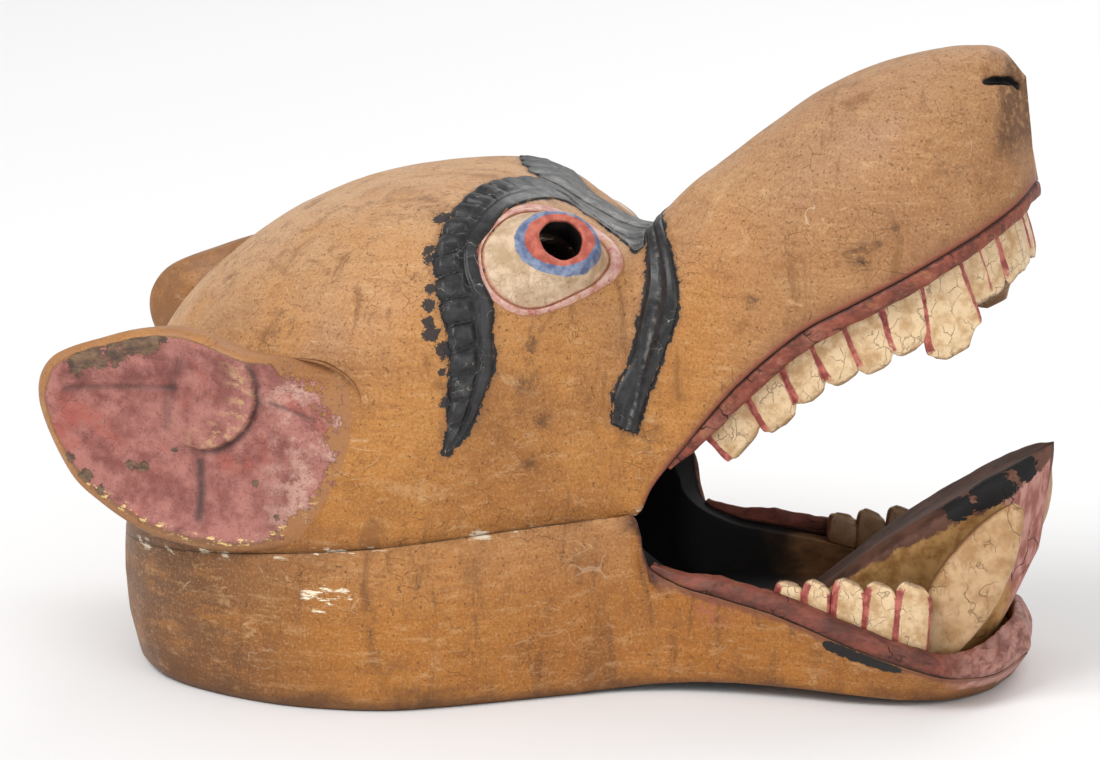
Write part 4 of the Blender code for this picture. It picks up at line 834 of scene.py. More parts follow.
def lip_paint():
    """Dull pink clouded with maroon, drawn out along the lip, with pale rubbed spots, dark cracks and black
    flakes."""
    paint = Finish("dull pink over lips")
    clouds = paint.grain(10.0, 6.0, 0.66, (2.4, 1, 1.4))
    paint.colour = paint.over(
        paint.ease(clouds, 0.34, 0.64), (0.125, 0.036, 0.024, 1), (0.27, 0.070, 0.042, 1)
    )
    paint.lay(paint.ease(paint.grain(24.0, 4.0), 0.55, 0.72, 0.0, 0.6), (0.40, 0.150, 0.105, 1))
    grain = paint.grain(1.6, 4.0, 0.7, (5, 1, 3))
    paint.lay(paint.ease(grain, 0.50, 0.70, 0.0, 0.60), (0.070, 0.022, 0.016, 1))
    paint.lay(paint.ease(grain, 0.48, 0.30, 0.0, 0.35), (0.48, 0.24, 0.18, 1))
    ochre = paint.ease(paint.grain(8.0, 6.0, 0.72, (2, 1, 1)), 0.54, 0.66, 0.0, 0.6)
    paint.lay(ochre, (0.36, 0.160, 0.060, 1))
    lower = paint.times(
        paint.ease(paint.axis("Z"), 0.095, 0.085, 0.0, 0.65), paint.ease(paint.axis("X"), 0.228, 0.200)
    )
    maroon = paint.over(paint.ease(clouds, 0.36, 0.62), (0.060, 0.020, 0.015, 1), (0.19, 0.052, 0.036, 1))
    paint.lay(lower, maroon)
    dirt = paint.ease(paint.grain(7.0, 6.0, 0.75, (2.5, 1, 1), 0.5), 0.50, 0.64, 0.0, 0.7)
    paint.lay(dirt, (0.085, 0.030, 0.020, 1))
    crack = paint.times(paint.cracks(14.0, (2.0, 1, 1), 0.03), paint.ease(paint.grain(18.0, 2.0), 0.45, 0.6))
    paint.lay(crack, (0.03, 0.012, 0.01, 1))
    edge = paint.ease(
        paint.sum(paint.mark("crease"), paint.times(paint.grain(4.0, 4.0, 0.7), 0.9)), 0.95, 1.35, 0.0, 0.9
    )
    paint.lay(edge, (0.035, 0.015, 0.012, 1))
    chin = paint.times(paint.ease(paint.axis("X"), 0.205, 0.228), paint.ease(paint.axis("Z"), 0.06, 0.045))
    mauve = paint.over(
        paint.ease(paint.grain(5.0, 5.0, 0.7, (1, 3, 1)), 0.36, 0.62), (0.20, 0.070, 0.050, 1),
        (0.50, 0.25, 0.20, 1)
    )
    paint.lay(paint.times(chin, 0.8), mauve)
    height = paint.sum(paint.times(grain, 0.6), paint.times(crack, -0.9))
    return paint.close(paint.ease(clouds, 0.3, 0.7, 0.46, 0.64), height, 0.6, 0.28)


def capped(ring):
    """Points and faces of rings of points in a row, with each end closed by a fan to the mean of its ring."""
    rows, count = ring.shape[:2]
    j = np.arange(count)
    first = np.stack([j, (j + 1) % count, np.full(count, rows * count)], -1)
    last = first + [(rows - 1) * count, (rows - 1) * count, 1]
    points = np.vstack([ring.reshape(-1, 3), ring[0].mean(0), ring[-1].mean(0)])
    return points, [sheet_faces(rows, count, 0, True), first, last]


def lip(name, edge, start, tall, deep, profile, upward, finish):
    """A band along an edge from one mouth corner round the tip to the other. The profile is a loop of
    shares of the depth and the height; each of its sides is filled with rows, and neighbours are averaged
    to round the corners."""
    u = crowded(300, [start, 0.9, 1.0], [1.0, 1.0, 1.5]) * (1.0 - start) + start
    point, inner, ahead = edge_frame(edge, u)
    away = np.cross(ahead, inner)
    away *= np.sign(away[:, 2:3]) * (1.0 if upward else -1.0)
    loop = np.array(profile)
    t = np.arange(6) / 6.0
    loop = (loop[:, None] + (np.roll(loop, -1, 0) - loop)[:, None] * t[None, :, None]).reshape(-1, 2)
    for _ in range(2):
        loop = 0.5 * loop + 0.25 * (np.roll(loop, 1, 0) + np.roll(loop, -1, 0))
    fade = np.interp(u - start, [0.0, 0.012, 0.055], [0.25, 0.5, 1.0])[:, None]
    high = np.interp(u, *tall)[:, None] * fade
    thick = np.interp(u, *deep)[:, None] * (0.4 + 0.6 * fade)
    ring = point[:, None] + inner[:, None] * (thick * loop[:, 0])[..., None]
    ring = ring + away[:, None] * (0.3 + high * loop[:, 1])[..., None]
    normal = np.cross(np.gradient(ring, axis=0), np.roll(ring, -1, 1) - np.roll(ring, 1, 1))
    normal /= np.maximum(np.linalg.norm(normal, axis=-1, keepdims=True), 1e-9)
    outward = ((ring - ring.mean(1, keepdims=True)) * normal).sum(-1, keepdims=True)
    normal *= np.sign(outward)
    free = ease(loop[:, 1], 0.1, 0.35)[None, :, None]
    cuts = 0.45 * lumps(ring, 9.0, 11) + 0.35 * lumps(ring, 4.0, 12) + tool_marks(ring)
    near = ring + normal * free * cuts[..., None]
    near[-1, :, 1] = 0.0
    body = np.concatenate([near, near[-2::-1] * (1.0, -1.0, 1.0)])
    points, faces = capped(body)
    crease = np.clip(1.0 - 3.0 * loop[:, 1], 0.0, 1.0) + 0.35 * ease(loop[:, 0], 0.5, 1.0)
    crease = np.concatenate([np.tile(crease, len(body)), [1.0, 1.0]])
    return piece(name + "_carved", points, faces, {"crease": crease}, finish, [name])


# Section of each lip as shares of its depth and height; where along the edge it has which height and depth
UPPER_SECTION = [(-0.05, 0.0), (-0.25, 0.25), (-0.25, 0.8), (0.1, 1.0), (0.8, 0.95), (1.0, 0.55), (1.0, 0.0)]
UPPER_TALL, UPPER_DEEP = ([0.0, 1.0], [LIP_TALL, LIP_TALL]), ([0.0, 1.0], [LIP_DEEP, LIP_DEEP])
LOWER_SECTION = [(-0.05, 0.0), (-0.2, 0.25), (0.2, 0.8), (0.8, 1.0), (1.0, 0.9), (1.0, 0.0)]
LOWER_TALL, LOWER_DEEP = ([0.66, 0.93, 1.0], [9.5, 10.5, 19.0]), ([0.93, 0.99], [LIP_DEEP, 9.0])
lip_pink = lip_paint()
lip("lip_upper", snout_edge, 0.632, UPPER_TALL, UPPER_DEEP, UPPER_SECTION, False, lip_pink)
lip("lip_lower", jaw_edge, 0.697, LOWER_TALL, LOWER_DEEP, LOWER_SECTION, True, lip_pink)

# Teeth. Rows of pegs carved in the wood of each block, painted cream over chalk with red in the clefts
# between them, now yellowed, crazed and dark at the gums; the biggest upper one has a chipped edge.
TOOTH_OFF = 0.8
FRONT_OFF = 1.5
# From the mouth corner to the front: place along the edge, lean, height and thickness
UPPER_TEETH = [
    (0.674, 38.0, 15.0, 6.6), (0.707, 28.0, 21.0, 6.8), (0.733, 24.0, 21.0, 6.8),
    (0.760, 27.0, 23.0, 6.8), (0.797, 21.0, 25.5, 6.8), (0.838, 13.0, 26.0, 6.8),
    (0.8795, 16.0, 39.0, 7.0), (0.9165, 20.0, 26.0, 6.8), (0.9405, 19.0, 28.0, 6.6),
    (0.9630, 18.0, 29.0, 6.4), (0.9855, 18.0, 30.0, 6.2),
]
# The big upper tooth, counted from the corner: its widths spread toward the chipped tip
CANINE = 7
CANINE_WIDTHS = [24.0, 25.0, 28.0, 31.0, 23.0]
LOWER_TEETH = [
    (0.808, 4.0, 15.0, 6.8), (0.829, 4.0, 21.0, 6.8), (0.854, 4.0, 29.0, 7.0),
    (0.8785, 4.0, 34.0, 7.0), (0.9050, 4.0, 40.0, 7.0),
]


def tooth_paint():
    """Cream clouded with yellow, red in the clefts, brown at the gum and tip, a net of fine dark cracks, and
    painted shade in the crevices where neighbouring teeth meet.
    """
    paint = Finish("cream over teeth")
    paint.colour = paint.over(
        paint.ease(paint.grain(9.0, 4.0, 0.6), 0.32, 0.60), (0.49, 0.29, 0.13, 1), (0.74, 0.54, 0.32, 1)
    )
    ragged = paint.times(paint.grain(3.0, 3.0, 0.7), 0.5)
    gum = paint.ease(paint.sum(paint.mark("down"), ragged), 0.62, 0.25, 0.0, 0.7)
    paint.lay(gum, (0.32, 0.16, 0.055, 1))
    specks = paint.ease(paint.grain(1.3, 3.0, 0.6), 0.62, 0.70, 0.0, 0.5)
    paint.lay(specks, (0.14, 0.07, 0.03, 1))
    net = paint.times(paint.cracks(7.0, (1, 1, 1.5), 0.035), paint.ease(paint.grain(9.0, 2.0), 0.45, 0.58))
    paint.lay(paint.times(net, 0.6), (0.12, 0.055, 0.025, 1))
    tip = paint.ease(paint.sum(paint.mark("down"), paint.times(ragged, 0.3)), 1.02, 1.10, 0.0, 0.75)
    paint.lay(tip, (0.20, 0.10, 0.045, 1))
    cleft = paint.sum(paint.mark("cleft"), paint.times(paint.grain(4.0, 3.0, 0.6), 1.6))
    red = paint.over(
        paint.ease(paint.grain(5.0, 3.0), 0.4, 0.65), (0.26, 0.045, 0.035, 1), (0.50, 0.14, 0.11, 1)
    )
    shown = paint.times(
        paint.ease(cleft, 5.2, 4.6), paint.ease(paint.sum(paint.mark("down"), ragged), 1.10, 0.95)
    )
    paint.lay(shown, red)
    paint.lay(paint.ease(paint.mark("back"), -0.2, 0.35, 0.0, 0.75), (0.17, 0.08, 0.035, 1))
    # Painted shade: dark along the side where each tooth meets its neighbour.
    crevice_shade = paint.ease(paint.sum(paint.mark("cleft"), ragged), 0.7, 0.25, 0.0, 0.8)
    paint.lay(crevice_shade, (0.05, 0.02, 0.012, 1))
    height = paint.sum(paint.times(net, -0.7), paint.times(paint.grain(2.2, 3.0), 0.5))
    return paint.close(paint.ease(paint.grain(8.0, 2.0), 0.3, 0.7, 0.36, 0.52), height, 0.4, 0.45)


def tooth(name, path, across, depth, widths, depths, side, finish, chip=0.0):
    """Squared ovals carried along the path: each is cosine by width and sine by depth, both drawn toward
    the corners, then pushed out by small lumps. The last rows shrink to a point that closes the tip; chip
    breaks its edge."""
    at = np.linspace(0.0, 1.0, len(path))
    keys = np.column_stack([at, path, widths, depths])
    t = np.concatenate([np.linspace(0.0, 1.0, 34), np.ones(4)])
    rows = along(keys, t)
    shrink = np.concatenate([np.ones(34), [0.93, 0.78, 0.5, 0.2]])
    push = np.concatenate([np.zeros(34), [0.35, 0.75, 1.0, 1.1]])
    ahead = np.asarray(path[-1]) - np.asarray(path[-2])
    ahead = ahead / np.linalg.norm(ahead)
    turns = np.linspace(0.0, 2 * math.pi, 40, endpoint=False)
    c = np.sign(np.cos(turns)) * np.abs(np.cos(turns)) ** 0.52
    s = np.sign(np.sin(turns)) * np.abs(np.sin(turns)) ** 0.60
    centre = rows[:, :3] + ahead * push[:, None]
    wide, deep = rows[:, 3] * shrink / 2, rows[:, 4] * shrink / 2
    ring = centre[:, None] + (wide[:, None] * c)[..., None] * across + (deep[:, None] * s)[..., None] * depth
    away = ring - centre[:, None]
    away /= np.maximum(np.linalg.norm(away, axis=-1, keepdims=True), 1e-9)
    ridges = 0.22 * lumps(ring * (1.0, 1.0, 0.35), 2.6, 21) + 0.38 * lumps(ring, 7.0, 22)
    ring = ring + away * (ridges * ease(t, 0.0, 0.15)[:, None])[..., None]
    jagged = np.maximum(lumps(ring * (1.0, 1.0, 0.2), 6.5, 23) + 0.25, 0.0)
    broken = chip * ease(t, 0.72, 1.0)[:, None] * jagged
    ring = ring - ahead * broken[..., None]
    points, faces = capped(ring)
    cleft = np.broadcast_to(
        wide[:, None] - np.abs(c) * wide[:, None] + 2.5 * np.maximum(s, 0.0), ring.shape[:2]
    )
    down = np.broadcast_to((t + 0.03 * push)[:, None], ring.shape[:2])
    cleft = cleft + np.where(c > 0.0, 2.6, 0.0)
    marks = {
        "cleft": np.append(cleft.ravel(), [9.0, 9.0]),
        "down": np.append(down.ravel(), [0.0, 1.1]),
        "back": np.append(np.broadcast_to(s, ring.shape[:2]).ravel(), [0.0, 0.0]),
    }
    return piece(name + "_carved", points * (1.0, -side, 1.0), faces, marks, finish, [name])


def pitch(teeth, edge):
    """Where each tooth stands along its edge, and the width that lets it touch its neighbours there."""
    at = np.array([row[0] for row in teeth])
    steps = np.linalg.norm(np.diff(edge_frame(edge, at)[0], axis=0), axis=1)
    return at, np.minimum(np.append(steps, steps[-1]), np.insert(steps, 0, steps[0])) + 0.4


UPPER_PITCH, LOWER_PITCH = pitch(UPPER_TEETH, snout_edge), pitch(LOWER_TEETH, jaw_edge)
cream = tooth_paint()
for side, word in ((-1.0, "right"), (1.0, "left")):
    for number, (u, lean, long, thick) in enumerate(UPPER_TEETH, 1):
        point, inner, ahead = (part[0] for part in edge_frame(snout_edge, np.array([u])))
        away = np.cross(ahead, inner)
        away *= -np.sign(away[2])
        aim = np.array([math.sin(math.radians(lean)), 0.0, -math.cos(math.radians(lean))])
        set_in = LIP_DEEP + TOOTH_OFF + thick / 2 + np.interp(u, [0.88, 0.95], [0.0, FRONT_OFF])
        root = point + inner * set_in + away * 0.3
        base = root + away * (LIP_TALL + 0.3)
        path = [root, base] + [base + aim * long * share for share in (0.4, 0.8, 1.0)]
        full = np.interp(u, UPPER_PITCH[0], UPPER_PITCH[1])
        widths = CANINE_WIDTHS if number == CANINE else [full * k for k in (1.06, 1.07, 1.05, 0.97, 0.70)]
        depths = [thick * k for k in (1.0, 1.08, 1.05, 0.85, 0.45)]
        chip = 5.0 if number == CANINE else 1.6
        tooth("tooth_upper_%s_%02d" % (word, number), path, ahead, inner, widths, depths, side, cream, chip)
    for number, (u, lean, high, thick) in enumerate(LOWER_TEETH, 1):
        point, inner, ahead = (part[0] for part in edge_frame(jaw_edge, np.array([u])))
        away = np.cross(ahead, inner)
        away *= np.sign(away[2])
        set_in = LIP_DEEP + TOOTH_OFF + thick / 2 + np.interp(u, [0.88, 0.95], [0.0, FRONT_OFF])
        root = point + inner * set_in + away * 0.3
        aim = np.array([math.sin(math.radians(lean)), 0.0, math.cos(math.radians(lean))])
        path = [root] + [root + aim * high * share for share in (0.35, 0.7, 0.9, 1.0)]
        full = np.interp(u, LOWER_PITCH[0], LOWER_PITCH[1])
        widths = [full * k for k in (1.04, 1.08, 1.06, 0.94, 0.62)]
        depths = [thick * k for k in (1.0, 1.05, 1.0, 0.8, 0.4)]
        tooth("tooth_lower_%s_%02d" % (word, number), path, ahead, inner, widths, depths, side, cream, 0.8)

# Tusks. The last lower tooth of each side, a broad blade that leans out over the chin beside the tongue,
# cream like the teeth but split by long cracks and golden brown along its back.
# Path x, y, z, then width and thickness
TUSK_PATH = np.array([
    (193.0, -54.0, 19.0, 20.0, 12.0), (200.0, -53.0, 34.0, 26.0, 13.0), (211.5, -51.0, 55.0, 33.0, 13.0),
    (223.5, -48.0, 76.0, 28.0, 11.5), (231.0, -44.5, 89.0, 19.0, 9.0), (236.5, -41.0, 98.5, 7.0, 4.0),
])


def tusk_paint():
    """Cream with golden clouds toward the back edge, long dark cracks, a brown foot and painted shade along
    the back edge where it meets the gum.
    """
    paint = Finish("cream over tusks")
    paint.colour = paint.over(
        paint.ease(paint.grain(12.0, 4.0, 0.6), 0.35, 0.62), (0.38, 0.205, 0.080, 1), (0.56, 0.36, 0.19, 1)
    )
    back = paint.sum(paint.mark("cleft"), paint.times(paint.grain(9.0, 4.0, 0.6), 7.0))
    paint.lay(paint.ease(back, 9.5, 4.0, 0.0, 0.8), (0.31, 0.15, 0.050, 1))
    lines = paint.grain(3.4, 5.0, 0.7, (1.4, 1, 4.0), 0.4)
    paint.lay(paint.ease(lines, 0.54, 0.70, 0.0, 0.65), (0.30, 0.15, 0.055, 1))
    net = paint.times(
        paint.cracks(17.0, (1.2, 1, 3.2), 0.016), paint.ease(paint.grain(16.0, 2.0), 0.46, 0.58)
    )
    fine = paint.times(paint.cracks(6.0, (1, 1, 1.8), 0.022), paint.ease(paint.grain(10.0, 2.0), 0.54, 0.64))
    paint.lay(paint.times(paint.most(net, fine), 0.55), (0.13, 0.06, 0.028, 1))
    foot = paint.ease(
        paint.sum(paint.mark("down"), paint.times(paint.grain(6.0, 3.0), 0.3)), 0.36, 0.20, 0.0, 0.8
    )
    paint.lay(foot, (0.24, 0.10, 0.04, 1))
    # Painted shade: a dark line along the back edge of the tusk, where it meets the gum.
    back_edge_shade = paint.ease(
        paint.sum(paint.mark("cleft"), paint.times(paint.grain(3.0, 4.0, 0.7), 1.6)), 2.6, 1.4, 0.0, 0.75
    )
    paint.lay(back_edge_shade, (0.13, 0.055, 0.025, 1))
    height = paint.sum(paint.times(paint.most(net, fine), -0.8), paint.times(paint.grain(2.6, 3.0), 0.5))
    return paint.close(paint.ease(paint.grain(8.0, 2.0), 0.3, 0.7, 0.38, 0.55), height, 0.45, 0.45)


tusk_cream = tusk_paint()
tusk_across = np.array([0.82, 0.18, -0.50]) / np.linalg.norm([0.82, 0.18, -0.50])
tusk_flat = np.cross(tusk_across, TUSK_PATH[-1, :3] - TUSK_PATH[0, :3])
tusk_flat /= np.linalg.norm(tusk_flat)
for side, word in ((-1.0, "right"), (1.0, "left")):
    tooth(
        "tusk_" + word, TUSK_PATH[:, :3], tusk_across, tusk_flat, TUSK_PATH[:, 3], TUSK_PATH[:, 4], side,
        tusk_cream, 1.0
    )

# Tongue. A thick board let into the mouth floor, hollowed along its top and rising to a point over the
# chin. Its top is brown maroon with big black flakes, its front pink, and its sides below the edge are the
# gold-brown gum.
# Where along it, x, half width, top z, then x, half width and z of its foot
TONGUE_KEYS = np.array([
    (0.00, 126.0, 24.0, 40.0, 126.0, 20.0, 24.0), (0.15, 143.0, 33.0, 54.0, 143.0, 24.0, 20.0),
    (0.35, 166.0, 37.0, 73.0, 166.0, 26.0, 18.0), (0.60, 195.0, 37.0, 93.0, 192.0, 26.0, 12.0),
    (0.80, 220.0, 33.0, 109.0, 210.5, 22.0, 10.0), (0.92, 236.0, 22.0, 117.5, 224.0, 14.0, 31.0),
    (1.00, 246.5, 5.0, 122.0, 240.0, 4.0, 66.0),
])


def tongue_paint():
    """Brown maroon drawn out along the tongue, black flakes on top, pink toward the tip, gold-brown gum low
    down."""
    paint = Finish("maroon over tongue")
    streaks = paint.grain(8.0, 5.0, 0.6, (3, 1, 2.2))
    paint.colour = paint.over(
        paint.ease(streaks, 0.35, 0.65), (0.062, 0.027, 0.017, 1), (0.125, 0.056, 0.036, 1)
    )
    paint.lay(paint.ease(paint.grain(19.0, 4.0), 0.54, 0.7, 0.0, 0.45), (0.20, 0.088, 0.060, 1))
    edge = paint.ease(
        paint.sum(paint.mark("edge"), paint.times(paint.grain(5.0, 3.0), 4.0)), 5.0, 3.0, 0.0, 0.3
    )
    paint.lay(edge, (0.25, 0.12, 0.085, 1))
    front = paint.sum(paint.axis("X"), paint.times(paint.grain(12.0, 4.0, 0.6), 0.02))
    pink = paint.over(
        paint.ease(paint.grain(6.0, 4.0, 0.6, (1, 1, 3)), 0.38, 0.62), (0.30, 0.110, 0.085, 1),
        (0.52, 0.27, 0.23, 1)
    )
    low = paint.mark("low")
    gold = paint.over(
        paint.ease(paint.grain(9.0, 5.0, 0.65), 0.36, 0.62), (0.27, 0.125, 0.038, 1), (0.44, 0.25, 0.09, 1)
    )
    lines = paint.ease(paint.grain(3.0, 5.0, 0.7, (2.4, 1, 1.6), 0.5), 0.56, 0.70, 0.0, 0.5)
    gold = paint.over(lines, gold, (0.12, 0.050, 0.020, 1))
    ragged = paint.times(paint.grain(7.0, 4.0, 0.65), 0.16)
    under = paint.ease(paint.sum(low, ragged), 0.215, 0.245)
    paint.lay(under, paint.over(paint.ease(front, 0.236, 0.243), gold, pink))
    flake = paint.most(paint.near((224.0, -29.0, 104.0), 24.0), paint.near((208.0, -33.0, 95.0), 16.0))
    flake = paint.most(flake, paint.near((238.0, -18.0, 112.0), 14.0))
    flake = paint.ease(
        paint.sum(flake, paint.times(paint.grain(13.0, 5.0, 0.80, (2.2, 1, 1)), 2.6)), 1.80, 1.84
    )
    flake = paint.times(flake, paint.ease(low, 0.19, 0.16))
    paint.lay(flake, (0.014, 0.013, 0.013, 1))
    crack = paint.times(paint.cracks(22.0, (2.4, 1, 1.6), 0.02), paint.ease(paint.grain(20.0, 2.0), 0.5, 0.6))
    paint.lay(paint.times(crack, 0.9), (0.02, 0.01, 0.008, 1))
    height = paint.sum(
        paint.times(streaks, 0.5), paint.sum(paint.times(flake, -0.5), paint.times(crack, -0.8))
    )
    return paint.close(paint.ease(streaks, 0.3, 0.7, 0.62, 0.78), height, 0.4, 0.2)


def tongue():
    """Rings of eight corners carried along the keys, filled with rows between the corners, rounded by
    averaging and pushed out by lumps; the middle of the top is sunk as a trough."""
    t = np.linspace(0.0, 1.0, 150)
    x, half, top, low_x, low_half, low = np.moveaxis(along(TONGUE_KEYS, t), -1, 0)
    rim = 7.0

    def corner(cx, cy, cz):
        return np.stack([cx + 0.0 * t, cy + 0.0 * t, cz + 0.0 * t], -1)

    waist_x, waist_z = low_x * 0.35 + x * 0.65, low * 0.35 + top * 0.65 - rim
    corners = [
        corner(x, -half, top - rim), corner(x, -half * 0.80, top), corner(x, 0.0, top - 3.0),
        corner(x, half * 0.80, top), corner(x, half, top - rim), corner(waist_x, half * 0.9, waist_z),
        corner(low_x, low_half, low), corner(low_x, -low_half, low), corner(waist_x, -half * 0.9, waist_z),
    ]
    share = np.arange(10) / 10.0
    sides = zip(corners, corners[1:] + corners[:1])
    ring = np.concatenate([a[:, None] + (b - a)[:, None] * share[None, :, None] for a, b in sides], 1)
    for _ in range(7):
        ring = 0.5 * ring + 0.25 * (np.roll(ring, 1, 1) + np.roll(ring, -1, 1))
    middle = ring.mean(1, keepdims=True)
    away = (ring - middle) / np.maximum(np.linalg.norm(ring - middle, axis=-1, keepdims=True), 1e-9)
    ring = ring + away * (0.5 * lumps(ring, 16.0, 31) + 0.3 * lumps(ring, 5.0, 32) - 0.3)[..., None]
    low_share = (top[:, None] - ring[..., 2]) / np.maximum(top - low, 1.0)[:, None]
    edge = half[:, None] - np.abs(ring[..., 1])
    points, faces = capped(ring)
    marks = {"low": np.append(low_share.ravel(), [1.0, 0.0]), "edge": np.append(edge.ravel(), [0.0, 0.0])}
    return piece("tongue_carved", points, faces, marks, tongue_paint(), ["tongue"])


tongue()

# Brows and cheek bands. Strips left standing on the skin, black. The brow is notched into overlapping ribs
# along its outer side with a flat band inside them; the cheek band is two low ridges with a crease between.
# Grey on their heights is partly dusting and partly painted sheen, and their grooves are painted near
# black as shade.


def black_paint():
    """Black, greyed on the heights partly by dusting and partly by a painted sheen, with pale specks that are
    partly painted glints, pale hair cracks and ochre showing at the rubbed edges.
    """
    paint = Finish("black over strips")
    clouds = paint.grain(7.0, 5.0, 0.65)
    paint.colour = paint.over(
        paint.ease(clouds, 0.35, 0.7), (0.010, 0.010, 0.011, 1), (0.030, 0.030, 0.033, 1)
    )
    # Grey on the proud heights of the ribs: partly dusting, partly painted sheen.
    dust_and_sheen = paint.times(
        paint.ease(paint.grain(15.0, 5.0, 0.7), 0.52, 0.74, 0.0, 0.65),
        paint.ease(paint.mark("proud"), 0.3, 0.9)
    )
    paint.lay(dust_and_sheen, (0.10, 0.10, 0.105, 1))
    bridge = paint.times(
        paint.mark("bridge"), paint.ease(paint.grain(5.0, 6.0, 0.75, (3, 1, 1)), 0.40, 0.68, 0.10, 0.85)
    )
    paint.lay(bridge, (0.23, 0.225, 0.215, 1))
    # Painted shade: near black in the grooves between the ribs and in the gutter beside them.
    paint.lay(paint.times(paint.mark("groove"), 0.9), (0.003, 0.003, 0.003, 1))
    # Pale specks: partly dusting, partly painted glints.
    specks = paint.ease(paint.grain(1.2, 4.0, 0.75), 0.60, 0.72, 0.0, 0.5)
    paint.lay(specks, (0.17, 0.165, 0.160, 1))
    hair = paint.times(paint.cracks(12.0, (1, 1, 1), 0.014), paint.ease(paint.grain(15.0, 2.0), 0.50, 0.60))
    paint.lay(paint.times(hair, 0.75), (0.46, 0.41, 0.34, 1))
    rubbed = paint.ease(paint.grain(4.0, 5.0, 0.72), 0.44, 0.64, 0.0, 0.6)
    paint.lay(paint.times(paint.mark("crease"), rubbed), (0.24, 0.23, 0.215, 1))
    edge = paint.sum(paint.mark("edge"), paint.times(paint.grain(8.0, 6.0, 0.75), 6.0))
    paint.lay(paint.ease(edge, 2.75, 2.5, 0.0, 0.9), (0.36, 0.18, 0.07, 1))
    height = paint.sum(paint.times(clouds, 0.5), paint.times(hair, -0.6))
    return paint.close(paint.ease(clouds, 0.3, 0.7, 0.32, 0.50), height, 0.5, 0.4)


def strip(name, keys, side, drop, rise, finish, notch=0.0, fade=1.0, crease=False):
    """A raised strip: at each place along it, points are spread between its two edges on the skin and
    lifted along the skin's outward direction by the rise at that share. The ribs of a brow are arches of a
    sine along its outer edge, slanted inward, that deepen to notches; its foot runs 3 mm into the skin."""
    t = crowded(300, [0.0, 0.1, 1.0], [1.6, 1.0, 1.0])
    lines = strip_edges(keys, t, side, drop)
    share = np.linspace(0.0, 1.0, 31)
    outer_edge = head_skin(lines[:, 0], np.minimum(lines[:, 1], 1.0), side)
    arc = np.concatenate([[0.0], np.cumsum(np.linalg.norm(np.diff(outer_edge, axis=0), axis=1))])
    phase = (arc[:, None] / 12.4 - 0.55 * share[None, :] + 0.04 * np.sin(arc[:, None] * 0.9)) % 1.0
    pillow = np.sin(math.pi * phase) ** 0.5
    outside = (1.0 - ease(share, 0.56, 0.66))[None, :]
    ribbed = notch * outside * np.interp(t, [0.66, 0.76], [1.0, 0.15])[:, None]
    early = 0.12 if side > 0 else 0.0
    taper = np.clip(t / 0.08, 0.35, 1.0) * np.interp(t + early, [0.50, 0.64], [1.0, fade])
    across = share[None, :] - 0.06 * ribbed * (2.0 * pillow - 1.2) * (1.0 - share[None, :])
    u = lines[:, :1] + (lines[:, 2:3] - lines[:, :1]) * across
    w = np.clip(lines[:, 1:2] + (lines[:, 3:4] - lines[:, 1:2]) * across, 0.0, 0.9995)
    high = np.interp(share, *rise)[None, :] * taper[:, None] * (1.0 - 0.85 * ribbed * (1.0 - pillow))
    rough = 0.3 * lumps(head_skin(u, w, side), 5.0, 41) + 0.25 * lumps(head_skin(u, w, side), 11.0, 42)
    inside = np.sin(math.pi * share)[None, :] ** 0.5
    tops = skin(u, w, side, np.maximum(high, 0.7) + rough * inside)
    normal = skin_normal(u, w, side)
    lows = (tops - normal * (np.maximum(high, 0.7) + 3.0)[..., None])[:, ::-6]
    ring = np.concatenate([tops, lows], 1)
    ring[..., 1] = np.minimum(ring[..., 1], -0.15)
    width = np.linalg.norm(tops[:, 0] - tops[:, -1], axis=-1)[:, None]
    at_middle = ease(lines[:, 1], 0.95, 0.99)[:, None]
    edge = np.minimum(share[None, :] * width + 20.0 * at_middle, (1.0 - share)[None, :] * width)
    rows = len(ring)
    hidden = np.zeros((rows, ring.shape[1] - len(share)))
    # Marks for the painted shade in the grooves between the ribs and in the gutter inside them.
    between = np.exp(-((np.minimum(phase, 1.0 - phase) / 0.055) ** 2)) * ribbed
    gutter = np.exp(-(((share - 0.645) / 0.03) ** 2))[None, :]
    beside = gutter * notch * np.interp(t, [0.60, 0.72], [0.8, 0.0])[:, None]
    line = np.exp(-(((share - 0.5) / 0.07) ** 2))[None, :] * (1.0 if crease else 0.0) * np.ones((rows, 1))
    marks = {
        "edge": edge,
        "proud": pillow * np.minimum(high / 3.0, 1.0),
        "crease": line,
        "groove": np.maximum(between, beside),
        "bridge": notch * np.interp(t, [0.55, 0.78], [0.0, 1.0])[:, None] * np.ones_like(line),
    }
    for key, value in marks.items():
        marks[key] = np.append(np.concatenate([value, hidden], 1).ravel(), [0.0, 0.0])
    points, faces = capped(ring)
    return piece(name + "_carved", points * (1.0, -side, 1.0), faces, marks, finish, [name])


# Share of the way across a strip, and how far it stands above the skin there
BROW_RISE = (
    [0.0, 0.05, 0.14, 0.52, 0.60, 0.65, 0.72, 0.92, 1.0], [0.8, 2.6, 4.4, 4.6, 2.2, 1.0, 2.3, 2.0, 0.8]
)
BAND_RISE = ([0.0, 0.07, 0.22, 0.46, 0.54, 0.78, 0.93, 1.0], [0.7, 1.9, 2.7, 1.4, 1.4, 2.7, 1.9, 0.7])
soot_black = black_paint()
for side, word in ((-1.0, "right"), (1.0, "left")):
    strip("brow_" + word, BROW_KEYS, side, BROW_DROP, BROW_RISE, soot_black, 1.0, 0.3)
    strip("cheek_band_" + word, BAND_KEYS, side, 0.0, BAND_RISE, soot_black, crease=True)

# Eyes. Each eyeball is a low bulge of the block, cream, with a red ring inside a blue ring, and is bored
# right through for the wearer to look out. A pink lid is carved round it, thin below and broad toward the
# snout.
EYE_MIDDLE = np.array([-2.0, -2.0])
PUPIL_AT = np.array([6.7, 4.6])
PUPIL_RADIUS = 10.8
PUPIL_LEVEL = -3.0
DRILL_SIDES = 72
LID_HIGH = 1.9
